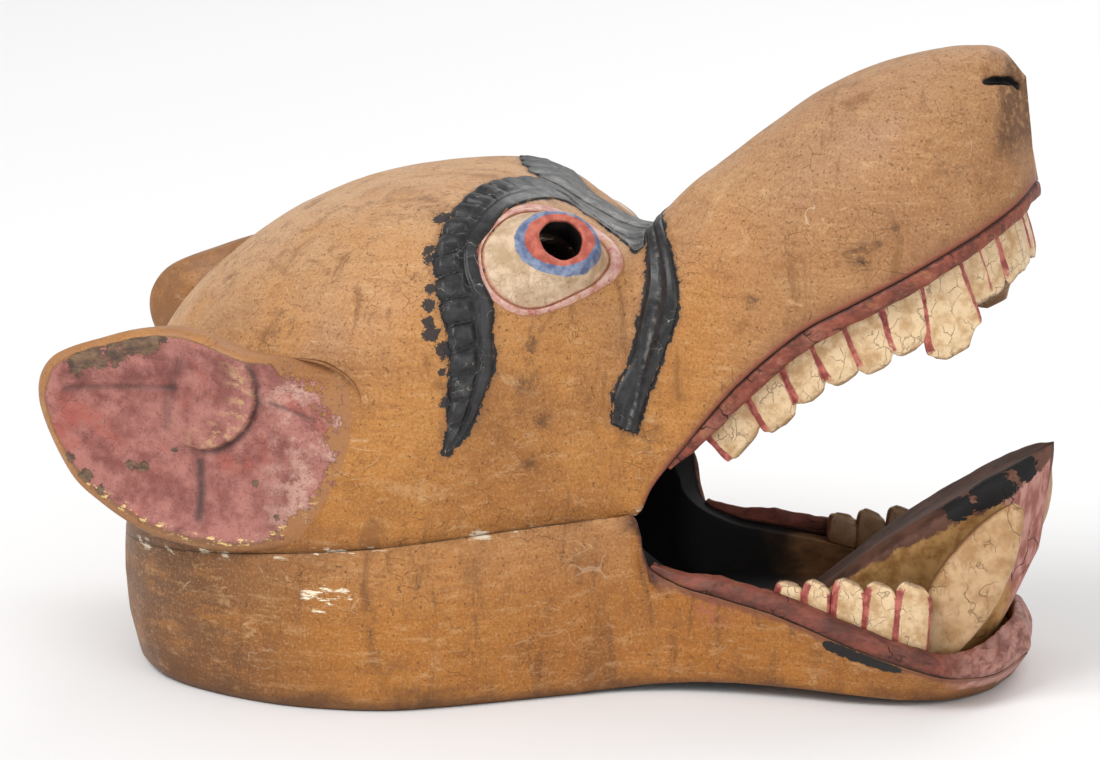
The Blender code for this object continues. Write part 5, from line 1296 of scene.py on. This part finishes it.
# Outlines in the plane of the eye: across toward the snout, and up
BALL_KEYS = np.array([
    (-32.0, 5.5), (-23.0, 16.5), (-11.5, 24.0), (2.0, 27.0), (16.5, 24.5), (28.0, 17.5), (34.0, 7.0),
    (33.0, -4.0), (23.5, -14.1), (8.3, -21.5), (-5.6, -26.3), (-18.4, -26.4), (-29.7, -19.5), (-34.0, -8.3),
])
LID_KEYS = np.array([
    (-35.3, 6.8), (-25.6, 20.5), (-13.0, 29.5), (2.8, 34.0), (18.0, 32.0), (32.0, 25.5), (41.5, 12.0),
    (41.0, -6.5), (27.0, -17.0), (9.8, -24.6), (-6.3, -29.2), (-19.6, -29.4), (-32.0, -22.0), (-37.6, -8.6),
])


def eye_frame(side):
    """Centre of the eye, two directions in its plane and the direction that it looks."""
    centre, look, _ = EYES[side]
    look = np.array(look) / np.linalg.norm(look)
    across = np.cross([0.0, 0.0, -side], look)
    across /= np.linalg.norm(across)
    return np.array(centre), across, np.cross(look, across) * -side, look


def closed_line(keys, count):
    """Points spread evenly by place along the smooth closed line through the keys."""
    again = np.vstack([keys[-2:], keys, keys[:3]])
    at = np.arange(-2, len(keys) + 3, dtype=float)
    return along(np.column_stack([at, again]), np.linspace(0.0, len(keys), count, endpoint=False))


def find_on_skin(flat, origin, across, up, side, low, high):
    """The u and w of the skin that lies over flat places in a plane: from the nearest of a coarse net of
    skin points both are stepped by the two slopes, eight times, until the place agrees."""
    def seen(u, w):
        away = head_skin(u, w, side) * (1.0, -side, 1.0) - origin
        return np.stack([away @ across, away @ up], -1)

    net_u, net_w = np.meshgrid(
        np.linspace(low[0], high[0], 60), np.linspace(low[1], high[1], 60), indexing="ij"
    )
    net = seen(net_u.ravel(), net_w.ravel())
    nearest = ((flat[:, None] - net[None]) ** 2).sum(-1).argmin(1)
    u, w = net_u.ravel()[nearest], net_w.ravel()[nearest]
    e = 0.0005
    for _ in range(8):
        here = seen(u, w)
        by_u, by_w = (seen(u + e, w) - here) / e, (seen(u, w + e) - here) / e
        det = by_u[:, 0] * by_w[:, 1] - by_u[:, 1] * by_w[:, 0]
        det = np.where(np.abs(det) < 1.0, 1.0, det)
        miss = flat - here
        u = np.clip(u + (miss[:, 0] * by_w[:, 1] - miss[:, 1] * by_w[:, 0]) / det, low[0], high[0])
        w = np.clip(w + (by_u[:, 0] * miss[:, 1] - by_u[:, 1] * miss[:, 0]) / det, low[1], high[1])
    return u, w, np.linalg.norm(flat - seen(u, w), axis=-1)


def over_skin(flat, side):
    """How far the carved skin stands above the plane of the eye at each flat place, and its gap to the
    brow."""
    centre, across, up, look = eye_frame(side)
    u, w, _ = find_on_skin(flat, centre, across, up, side, (0.38, 0.25), (0.64, 0.985))
    here = skin(u, w, side)
    gap = strip_gap(here, u, w, side, BROW_KEYS, BROW_DROP)
    return (here * (1.0, -side, 1.0) - centre) @ look, gap


def eyeball_paint():
    """Cream crazed and dirty low down, a blue oval, a red oval in it with a pale edge, and painted shade
    inside the bore, whose wall is near black."""
    paint = Finish("cream over eyes")
    paint.colour = paint.over(
        paint.ease(paint.grain(8.0, 4.0, 0.6), 0.35, 0.65), (0.46, 0.31, 0.18, 1), (0.66, 0.49, 0.33, 1)
    )
    specks = paint.ease(paint.grain(1.4, 4.0, 0.65), 0.58, 0.68)
    low = paint.ease(paint.mark("eye_up"), -4.0, -20.0, 0.15, 0.75)
    paint.lay(paint.times(specks, low), (0.16, 0.10, 0.05, 1))
    net = paint.times(paint.cracks(5.0, (1, 1, 1), 0.03), paint.ease(paint.grain(12.0, 2.0), 0.48, 0.58))
    paint.lay(paint.times(net, 0.35), (0.30, 0.20, 0.12, 1))
    wobble = paint.ease(paint.grain(6.0, 3.0, 0.6), 0.0, 1.0, -0.045, 0.045)

    def oval(middle, radii):
        across = paint.times(paint.sum(paint.mark("eye_across"), -middle[0]), 1.0 / radii[0])
        up = paint.times(paint.sum(paint.mark("eye_up"), -middle[1]), 1.0 / radii[1])
        square = paint.sum(paint.times(across, across), paint.times(up, up))
        return paint.sum(paint.node("ShaderNodeMath", 0, {0: square}, operation="SQRT"), wobble)

    blue = paint.over(
        paint.ease(paint.grain(5.0, 4.0, 0.6), 0.35, 0.65), (0.095, 0.125, 0.235, 1), (0.24, 0.29, 0.41, 1)
    )
    paint.lay(paint.ease(oval((5.1, 3.1), (22.5, 17.6)), 1.03, 1.0), blue)
    red = paint.over(
        paint.ease(paint.grain(5.0, 4.0, 0.6), 0.35, 0.65), (0.36, 0.070, 0.045, 1), (0.56, 0.15, 0.10, 1)
    )
    ring = oval((5.6, 4.4), (17.6, 13.8))
    paint.lay(paint.ease(ring, 1.03, 1.0), red)
    lid = paint.sum(paint.mark("from_lid"), paint.times(paint.grain(6.0, 4.0, 0.65), 0.14))
    paint.lay(paint.ease(lid, 0.11, 0.06, 0.0, 0.8), (0.40, 0.13, 0.11, 1))
    paint.lay(paint.ease(lid, 0.062, 0.04, 0.0, 0.7), (0.09, 0.035, 0.025, 1))
    # Painted shade: the wall of the bore is laid near black.
    paint.lay(paint.mark("bore"), (0.010, 0.008, 0.008, 1))
    height = paint.sum(paint.times(net, -0.4), paint.times(paint.grain(1.6, 3.0), 0.5))
    return paint.close(paint.ease(paint.grain(8.0, 2.0), 0.3, 0.7, 0.34, 0.5), height, 0.3, 0.48)


def lid_paint():
    """Pale pink rubbed to red and to ochre, darker in the wrinkles that follow the eye."""
    paint = Finish("pink over eyelids")
    clouds = paint.grain(8.0, 5.0, 0.65)
    paint.colour = paint.over(paint.ease(clouds, 0.36, 0.62), (0.50, 0.21, 0.17, 1), (0.70, 0.46, 0.39, 1))
    paint.lay(paint.ease(paint.grain(5.0, 4.0, 0.7), 0.58, 0.68, 0.0, 0.75), (0.40, 0.075, 0.055, 1))
    paint.lay(paint.ease(paint.grain(9.0, 5.0, 0.7), 0.58, 0.66, 0.0, 0.8), (0.50, 0.27, 0.11, 1))
    wrinkle = paint.ease(paint.mark("wrinkle"), 0.35, 0.0, 0.0, 0.55)
    paint.lay(wrinkle, (0.15, 0.05, 0.035, 1))
    rim = paint.sum(paint.mark("rim"), paint.times(paint.grain(6.0, 5.0, 0.75), 0.45))
    paint.lay(paint.ease(rim, 0.42, 0.26), (0.45, 0.21, 0.075, 1))
    return paint.close(paint.ease(clouds, 0.3, 0.7, 0.42, 0.58), paint.grain(2.0, 4.0), 0.4, 0.42)


def looped(ring):
    """Faces of rings of points that follow one another and meet again at the first."""
    rows, count = ring.shape[:2]
    i, j = np.meshgrid(np.arange(rows), np.arange(count), indexing="ij")
    n, k = (i + 1) % rows, (j + 1) % count
    return np.stack([i * count + j, i * count + k, n * count + k, n * count + j], -1).reshape(-1, 4)


def bore_line(turns, more=0.0):
    """The slightly uneven circle of the bore: its radius swells three and seven times on the way round."""
    radius = PUPIL_RADIUS * (1.0 + 0.02 * np.sin(3.0 * turns) + 0.015 * np.sin(7.0 * turns + 1.0)) + more
    return PUPIL_AT + radius[:, None] * np.column_stack([np.cos(turns), np.sin(turns)])


def eye(side, word, ball_finish, lid_finish):
    """Eyeball: rings from its outline in to the bore, lifted over the skin as a low dome. Lid: rings from
    its outer line to the eyeball, lifted in a rounded ridge with wrinkles; both sink where the brow lies
    over them."""
    centre, across, up, look = eye_frame(side)

    def place(flat, high):
        return centre + flat[:, :1] * across + flat[:, 1:] * up + np.reshape(high, (-1, 1)) * look

    count = 120
    ball = closed_line(BALL_KEYS, count)
    hole = bore_line(np.arctan2(ball[:, 1] - PUPIL_AT[1], ball[:, 0] - PUPIL_AT[0]))
    inset = EYE_MIDDLE + (ball - EYE_MIDDLE) * 0.985
    foot, _ = over_skin(inset, side)
    rings = [place(inset, foot - 5.0)]
    shares = np.linspace(0.0, 1.0, 34) ** 1.2
    for share in shares:
        flat = inset + (hole - inset) * share
        here, gap = over_skin(flat, side)
        flatten = ease(share, 0.0, 0.6)
        level = foot * (1.0 - flatten) + PUPIL_LEVEL * flatten
        high = np.interp(share, [0.0, 0.14, 0.38, 0.70, 0.94, 1.0], [0.8, 2.0, 3.2, 3.8, 4.0, 3.4])
        rough = 0.2 * lumps(place(flat, level), 6.0, 51)
        dome = np.maximum(level + high, here + np.interp(share, [0.0, 0.14, 1.0], [0.8, 1.4, 1.4])) + rough
        shown = ease(gap, 0.0, 3.0)
        rings.append(place(flat, dome * shown + (level - 1.2) * (1.0 - shown)))
    rings.append(place(PUPIL_AT + (hole - PUPIL_AT) * 0.985, PUPIL_LEVEL + 1.5))
    back, _ = over_skin(hole, side)
    rings.append(place(hole, back - 5.0))
    from_lid = np.concatenate([[0.0], shares, [1.0, 1.0]])
    flats = inset + (hole - inset) * from_lid[:, None, None]
    in_bore = np.arange(len(rings)) >= len(rings) - 2
    marks = {"eye_across": flats[..., 0], "eye_up": flats[..., 1], "from_lid": np.repeat(from_lid, count)}
    marks["bore"] = np.repeat(in_bore, count)
    ring = np.stack(rings)
    piece(
        "eye_%s_carved" % word, ring.reshape(-1, 3), [looped(ring)], marks, ball_finish, ["eye_" + word],
    )

    lid = closed_line(LID_KEYS, count)
    inner = EYE_MIDDLE + (ball - EYE_MIDDLE) * 1.02
    wide = np.linalg.norm(inner - lid, axis=1)
    skin_at, _ = over_skin(lid, side)
    rings, wrinkles = [place(lid, skin_at - 4.0)], [np.ones(count)]
    shares = np.linspace(0.0, 1.0, 22)
    for share in shares:
        flat = lid + (inner - lid) * share
        skin_at, gap = over_skin(flat, side)
        wave = share * wide / 4.2 + 0.3 * lumps(place(flat, skin_at), 12.0, 52)
        fold = np.abs(np.sin(math.pi * wave)) ** 0.6
        ridge = np.interp(share, [0.0, 0.12, 0.45, 0.86, 1.0], [0.15, 0.9, LID_HIGH, LID_HIGH + 0.1, 1.3])
        high = ridge * (0.72 + 0.28 * fold)
        rings.append(place(flat, skin_at + high * ease(gap, 0.0, 2.5) - 0.8 * (gap <= 0.0)))
        wrinkles.append(fold)
    skin_at, _ = over_skin(inner, side)
    rings.append(place(inner, skin_at - 4.0))
    wrinkles.append(np.ones(count))
    ring = np.stack(rings)
    marks = {
        "wrinkle": np.concatenate(wrinkles), "rim": np.repeat(np.concatenate([[0.0], shares, [1.0]]), count)
    }
    piece(
        "eyelid_%s_carved" % word, ring.reshape(-1, 3), [looped(ring)], marks, lid_finish,
        ["eyelid_" + word]
    )

    drilled = bore_line(np.linspace(0.0, 2 * math.pi, DRILL_SIDES, endpoint=False), 0.05)
    return [place(drilled, np.full(DRILL_SIDES, high)) for high in (14.0, -34.0)]


eye_cream, lid_pink = eyeball_paint(), lid_paint()
bores = [eye(side, word, eye_cream, lid_pink) for side, word in ((-1.0, "right"), (1.0, "left"))]
drill_mesh = bpy.data.meshes.new("drill")
drill_points = np.vstack([ring for pair in bores for ring in pair]) + (CENTRE_X, 0.0, 0.0)
drill_faces = []
for first in (0, 2 * DRILL_SIDES):
    drill_faces += sheet_faces(2, DRILL_SIDES, first, True).tolist()
    round_end = list(range(first, first + DRILL_SIDES))
    drill_faces += [round_end, [j + DRILL_SIDES for j in reversed(round_end)]]
drill_mesh.from_pydata((drill_points * 0.001).tolist(), [], drill_faces)
drill_work = bmesh.new()
drill_work.from_mesh(drill_mesh)
bmesh.ops.recalc_face_normals(drill_work, faces=drill_work.faces)
drill_work.to_mesh(drill_mesh)
drill_work.free()
drill = bpy.data.objects.new("drill", drill_mesh)
bpy.context.scene.collection.objects.link(drill)
bored = head.modifiers.new("pupils", "BOOLEAN")
bored.operation, bored.solver, bored.object = "DIFFERENCE", "EXACT", drill
with_bores = bpy.data.meshes.new_from_object(head.evaluated_get(bpy.context.evaluated_depsgraph_get()))
head.modifiers.clear()
head.data = with_bores
bpy.data.objects.remove(drill)

# Ears. Broad leaves carved with the block, dished on the outer face with a folded inner lobe, and thick
# where they grow from the head. The dish is pink over black ground that shows where it has flaked, the rim
# and back are ochre.
# Outline seen from the side, x and z
EAR_KEYS = np.array([
    (-238.9, 141.6), (-231.9, 163.9), (-203.3, 176.6), (-179.8, 183.2), (-158.0, 184.5), (-127.7, 176.4),
    (-107.4, 174.2), (-87.1, 171.0), (-72.0, 160.0), (-68.0, 135.0), (-74.0, 108.0), (-94.1, 87.0),
    (-120.0, 78.5), (-139.0, 76.0), (-158.1, 76.5), (-181.5, 80.6), (-205.9, 92.9), (-223.9, 108.5),
])
EAR_MIDDLE = np.array([-150.0, 129.0])
EAR_FACE = ((-240.0, -180.0, -120.0, -70.0), (-117.0, -127.5, -139.0, -143.5))
# The left ear was carved this much further back and lower at its tip
EAR_LEFT_DRIFT = (-12.0, -8.0)
PINK_EDGE = np.array([
    (-235.6, 142.5), (-229.5, 161.5), (-202.5, 173.6), (-179.6, 180.2), (-158.0, 181.4), (-128.5, 173.4),
    (-108.0, 171.0), (-94.0, 167.0), (-84.0, 158.0), (-80.0, 145.0), (-79.0, 129.0), (-84.0, 112.0),
    (-95.0, 97.0), (-108.0, 89.0), (-122.0, 84.5), (-139.0, 82.0), (-158.0, 83.0), (-180.0, 87.5),
    (-203.0, 99.0), (-219.5, 113.0), (-229.0, 127.0),
])
LOBE_EDGE = np.array([
    (-131.0, 177.0), (-124.5, 170.0), (-122.0, 162.0), (-121.5, 153.0), (-124.0, 145.0), (-129.0, 137.5),
    (-135.0, 132.0), (-144.0, 127.0), (-153.0, 125.0), (-161.0, 126.0), (-166.0, 130.0),
])


# Patches where the pink has flaked away, from the big ones along the upper rim to small ones: x, z and radius
EAR_FLAKES = [
    (-216.0, 163.0, 9.0), (-207.0, 169.0, 10.0), (-197.0, 172.0, 10.0), (-187.0, 176.0, 11.0),
    (-178.0, 179.0, 10.0), (-190.0, 114.0, 3.6), (-183.0, 113.0, 3.2), (-213.0, 106.0, 4.6),
    (-205.0, 101.0, 4.0), (-221.0, 116.0, 4.0), (-166.0, 123.0, 2.6), (-122.0, 112.0, 2.4),
    (-111.0, 96.0, 2.6),
]
# Lines carved or stained in the dish: a straight groove, the roll over it, a crease, a fold and the dark drip
GROOVE = np.array([(-224.0, 149.5), (-205.0, 151.5), (-166.0, 154.5)])
ROLL = np.array([(-214.0, 158.0), (-168.0, 165.0)])
CREASE = np.array([(-114.0, 153.0), (-101.0, 150.0), (-92.0, 146.0)])
FOLD = np.array([(-163.0, 168.0), (-170.0, 150.0), (-171.0, 134.0)])
DRIP = np.array([(-152.5, 119.0), (-151.5, 105.0), (-153.0, 92.0)])


def ear_paint():
    """Ochre rim and back, painted darker on the left ear as shade. In the dish a greyish rose, finely
    speckled, rubbed pale and frayed toward the head, flaked away to brown along the upper rim and low down,
    with flecks of gold on the lower rim, and painted shade in its grooves and under the lobe."""
    paint = Finish("rose over ears")
    rough, height = ochre_ground(paint)
    deep = paint.ease(paint.grain(22.0, 4.0), 0.30, 0.58, 0.25, 0.8)
    paint.lay(deep, (0.34, 0.155, 0.065, 1))
    # Painted shade: the left ear is laid darker brown.
    left_ear_shade = paint.times(
        paint.ease(paint.axis("Y"), 0.05, 0.06, 0.0, 0.7),
        paint.ease(paint.grain(11.0, 5.0, 0.7), 0.36, 0.60, 0.3, 1.0)
    )
    paint.lay(left_ear_shade, (0.21, 0.095, 0.035, 1))
    toward_head = paint.ease(paint.axis("X"), -0.125, -0.092)
    frays = paint.times(
        paint.sum(paint.grain(10.0, 6.0, 0.74), -0.5), paint.sum(paint.times(toward_head, 50.0), 5.0)
    )
    across = paint.sum(paint.sum(paint.mark("rose"), frays), paint.sum(paint.times(toward_head, -4.5), -2.0))
    rose = paint.over(
        paint.ease(paint.grain(13.0, 5.0, 0.62), 0.34, 0.64), (0.22, 0.068, 0.055, 1),
        (0.41, 0.165, 0.135, 1)
    )
    red = paint.ease(paint.grain(27.0, 4.0, 0.6), 0.54, 0.68, 0.0, 0.8)
    rose = paint.over(red, rose, (0.36, 0.085, 0.060, 1))
    worn = paint.times(
        paint.ease(paint.axis("X"), -0.135, -0.090),
        paint.ease(paint.grain(12.0, 5.0, 0.74), 0.44, 0.64, 0.0, 0.75)
    )
    rose = paint.over(worn, rose, (0.60, 0.37, 0.29, 1))
    speckle = paint.ease(paint.grain(1.1, 3.0, 0.6), 0.57, 0.66, 0.0, 0.55)
    rose = paint.over(speckle, rose, (0.10, 0.035, 0.030, 1))
    rubbed = paint.times(paint.mark("rubbed"), paint.ease(paint.grain(5.0, 5.0, 0.7, (2, 1, 1)), 0.48, 0.60))
    rose = paint.over(paint.times(rubbed, 0.8), rose, (0.56, 0.36, 0.17, 1))
    # Painted shade in the groove, crease and fold and under the lobe; the same mark carries the dark drip, a
    # stain.
    shade = paint.times(paint.mark("shade"), paint.ease(paint.grain(4.0, 4.0, 0.7), 0.25, 0.5, 0.4, 1.0))
    rose = paint.over(shade, rose, (0.055, 0.030, 0.028, 1))
    edge = paint.ease(across, -4.2, -2.4)
    paint.lay(edge, rose)
    rim = paint.times(paint.ease(across, -7.0, -4.2), paint.ease(across, -2.0, -3.2))
    rim = paint.times(rim, paint.ease(paint.axis("X"), -0.095, -0.125, 0.0, 0.45))
    paint.lay(rim, (0.17, 0.085, 0.045, 1))
    gold = paint.times(paint.ease(across, -7.0, -3.6), paint.ease(across, 0.2, -2.0))
    gold = paint.times(
        gold,
        paint.times(
            paint.ease(paint.grain(2.4, 4.0, 0.7, (2, 1, 1)), 0.55, 0.60),
            paint.ease(paint.axis("Z"), 0.115, 0.100)
        )
    )
    paint.lay(paint.times(gold, 0.9), (0.78, 0.56, 0.22, 1))
    flake = paint.sum(paint.mark("flake"), paint.times(paint.grain(7.0, 6.0, 0.76, (1.5, 1, 1)), 1.7))
    bare = paint.over(
        paint.ease(paint.grain(4.0, 6.0, 0.7, (2, 1, 1)), 0.36, 0.64), (0.050, 0.036, 0.026, 1),
        (0.20, 0.125, 0.065, 1)
    )
    flaked = paint.ease(flake, 1.50, 1.55, 0.0, 0.9)
    paint.lay(flaked, bare)
    height = paint.sum(height, paint.sum(paint.times(edge, 0.5), paint.times(flaked, -0.4)))
    return paint.close(rough, height, 0.6, 0.36)


def ear(side, word, finish):
    """Rings of the outline drawn in toward the middle of the ear: in front they pass over a rounded rim
    into a dish whose depth falls toward the head, behind they swell to the thickness. The lobe stands up
    behind its edge line and dies away behind it, folds are soft ridges along lines, and the rim melts into
    the head in front. Marks hold the distance inside the pink edge."""
    outline = closed_line(EAR_KEYS, 260)
    front = np.concatenate([[0.0, 0.02, 0.05, 0.08], np.linspace(0.11, 1.0, 78)])
    flat = outline[None] + (EAR_MIDDLE - outline)[None] * front[:, None, None]
    edge = np.interp(front, [0.0, 0.02, 0.05, 0.11], [4.0, 1.8, 0.6, 0.0])[:, None]
    deep = np.interp(front, [0.11, 0.19, 0.40, 0.70, 1.0], [0.0, 0.32, 0.8, 1.0, 1.0])[:, None]
    dish = np.interp(flat[..., 0], [-200.0, -110.0], [8.0, 2.5])
    depth = np.interp(flat[..., 0], *EAR_FACE) + edge + deep * dish
    lobe_gap, lobe_run = from_line(flat, LOBE_EDGE)
    behind = within(
        flat, np.vstack([LOBE_EDGE, [(-176.0, 140.0), (-178.0, 160.0), (-165.0, 184.0), (-131.0, 186.0)]])
    )
    ends = np.interp(lobe_run, [0.0, 14.0, 60.0, 84.0], [0.3, 1.0, 1.0, 0.15])
    lobe = behind * ends * (2.6 * ease(lobe_gap, 0.0, 1.2) * np.exp(-np.maximum(lobe_gap - 3.0, 0.0) / 13.0))
    lobe += behind * ends * 0.9 * np.cos(lobe_gap / 2.1) * np.exp(-lobe_gap / 12.0) * ease(lobe_gap, 2.0, 6.0)
    beside = (~behind) * ends * np.exp(-lobe_gap / 3.2)
    groove = 1.1 * np.exp(-((from_line(flat, GROOVE)[0] / 1.6) ** 2))
    roll = 1.2 * np.exp(-((from_line(flat, ROLL)[0] / 5.0) ** 2))
    crease = 0.9 * np.exp(-((from_line(flat, CREASE)[0] / 1.2) ** 2))
    fold = np.exp(-((from_line(flat, FOLD)[0] / 3.0) ** 2))
    face = np.stack([flat[..., 0], depth, flat[..., 1]], -1)
    depth = depth + (groove + beside + crease + fold - lobe - roll) * ease(front, 0.05, 0.16)[:, None]
    cuts = 0.5 * lumps(face, 14.0, 61) + 0.3 * lumps(face, 6.0, 62) + tool_marks(face)
    depth = depth + cuts * ease(front, 0.0, 0.03)[:, None]
    axes = np.eye(3)
    u, w, _ = find_on_skin(
        flat.reshape(-1, 2), np.zeros(3), axes[0], axes[2], -1.0, (0.18, 0.0), (0.45, 0.75)
    )
    head_y = head_skin(u, w, -1.0)[:, 1].reshape(depth.shape)
    melt = ease(flat[..., 0], -128.0, -84.0) * (1.0 - ease(front, 0.02, 0.42))[:, None]
    depth = depth + (head_y + 0.8 - depth) * melt
    thick = np.interp(outline[:, 0], [-235.0, -190.0, -120.0], [17.0, 22.0, 30.0])
    back = [
        np.linspace(1.0, 0.6, 10)[:-1], np.linspace(0.6, 0.2, 14)[:-1], np.linspace(0.2, 0.03, 10),
        [0.014, 0.006]
    ]
    back = np.concatenate(back)
    back_flat = outline[None] + (EAR_MIDDLE - outline)[None] * back[:, None, None]
    part = np.interp(
        back, [0.0, 0.006, 0.014, 0.03, 0.20, 0.60, 1.0], [0.36, 0.46, 0.54, 0.62, 0.95, 1.15, 1.18]
    )
    back_y = np.interp(outline[:, 0], *EAR_FACE)[None] + thick[None] * part[:, None]
    back_y += (back_y.mean(1, keepdims=True) - back_y) * ease(back, 0.6, 1.0)[:, None]
    rear = np.stack([back_flat[..., 0], back_y, back_flat[..., 1]], -1)
    rear[..., 1] -= (0.5 * lumps(rear, 16.0, 63) + tool_marks(rear)) * ease(back, 0.0, 0.05)[:, None]
    ring = np.concatenate([rear, np.stack([flat[..., 0], depth, flat[..., 1]], -1)])
    ring[..., 1] *= -side
    flat_all = np.concatenate([back_flat, flat])
    if side > 0:
        ring[..., [0, 2]] += np.interp(flat_all[..., :1], [-240.0, -70.0], [1.0, 0.0]) * EAR_LEFT_DRIFT
    rows, count = ring.shape[:2]
    faced = np.concatenate([np.zeros(len(back)), ease(front, 0.0, 0.06)])[:, None] * np.ones((1, count))
    rose_gap = from_line(flat_all, np.vstack([PINK_EDGE, PINK_EDGE[:1]]))[0]
    rose = np.where(within(flat_all, PINK_EDGE), rose_gap, -rose_gap) * faced - 30.0 * (1.0 - faced)
    flakes = np.zeros(rose.shape)
    for x, z, radius in EAR_FLAKES:
        near = np.hypot(flat_all[..., 0] - x, flat_all[..., 1] - z)
        flakes = np.maximum(flakes, 1.0 - 0.5 * near / radius)
    # Painted shade along the groove, crease and fold and under the lobe, together with the drip stain.
    shade = np.zeros(rose.shape)
    drip = 0.85 * np.exp(-((from_line(flat, DRIP)[0] / 2.6) ** 2))
    under_lobe = 0.8 * (~behind) * ends * np.exp(-((lobe_gap - 0.8) / 2.2) ** 2)
    shade[len(back):] = np.clip(0.5 * groove / 1.1 + drip + under_lobe + 0.7 * crease + 0.35 * fold, 0.0, 1.0)
    rubbed = np.zeros(rose.shape)
    rubbed[len(back):] = behind * ends * np.exp(-(((lobe_gap - 6.0) / 6.0) ** 2))
    marks = {"rose": rose, "flake": np.where(faced > 0.5, flakes, 0.0), "shade": shade, "rubbed": rubbed}
    marks |= {key: np.zeros(rose.shape) for key in ("pale", "inside")}
    return piece(
        "ear_%s_carved" % word, ring, [sheet_faces(rows, count, 0, True)], marks, finish, ["ear_" + word],
    )


ear_rose = ear_paint()
for side, word in ((-1.0, "right"), (1.0, "left")):
    ear(side, word, ear_rose)

# Studio. A plain pale floor with soft light from the upper left, the front and the back, and a camera with
# a long lens at the photograph's angle.
floor_mesh = bpy.data.meshes.new("floor")
floor_mesh.from_pydata([(-6, -6, 0), (6, -6, 0), (6, 6, 0), (-6, 6, 0)], [], [(0, 1, 2, 3)])
floor = bpy.data.objects.new("floor", floor_mesh)
bpy.context.scene.collection.objects.link(floor)
pale = Finish("pale floor")
pale.shader.inputs["Base Color"].default_value = (0.88, 0.88, 0.88, 1.0)
pale.shader.inputs["Roughness"].default_value = 0.9
floor_mesh.materials.append(pale.material)

# Lamps: place, size in metres and power in watts
LAMPS = [
    ("key", (-1.3, -1.9, 2.4), 1.6, 62.0),
    ("fill", (2.2, -2.0, 1.2), 1.8, 22.0),
    ("back", (0.6, 2.2, 2.2), 1.6, 26.0),
]
for word, place, size, power in LAMPS:
    lamp = bpy.data.lights.new(word + "_light", "AREA")
    lamp.size = size
    lamp.energy = power
    lamp_object = bpy.data.objects.new(word + "_light", lamp)
    lamp_object.location = place
    aim = Vector((0.0, 0.0, 0.14)) - Vector(place)
    lamp_object.rotation_euler = aim.to_track_quat("-Z", "Y").to_euler()
    bpy.context.scene.collection.objects.link(lamp_object)
world = bpy.data.worlds.new("studio")
world.use_nodes = True
world.node_tree.nodes["Background"].inputs["Color"].default_value = (1.0, 1.0, 1.0, 1.0)
world.node_tree.nodes["Background"].inputs["Strength"].default_value = 0.62
bpy.context.scene.world = world
bpy.context.scene.view_settings.view_transform = "Standard"

AZIMUTH, ELEVATION = math.radians(13.7), math.radians(14.0)
level = math.cos(ELEVATION)
ahead = Vector((-math.sin(AZIMUTH) * level, math.cos(AZIMUTH) * level, -math.sin(ELEVATION)))
lens = bpy.data.cameras.new("camera")
lens.lens = 216.0
lens.sensor_width = 36.0
lens.clip_end = 50.0
camera = bpy.data.objects.new("camera", lens)
camera.location = Vector((-0.00584, 0.0, 0.138)) - ahead * 3.3
camera.rotation_euler = ahead.to_track_quat("-Z", "Y").to_euler()
bpy.context.scene.collection.objects.link(camera)
bpy.context.scene.camera = camera
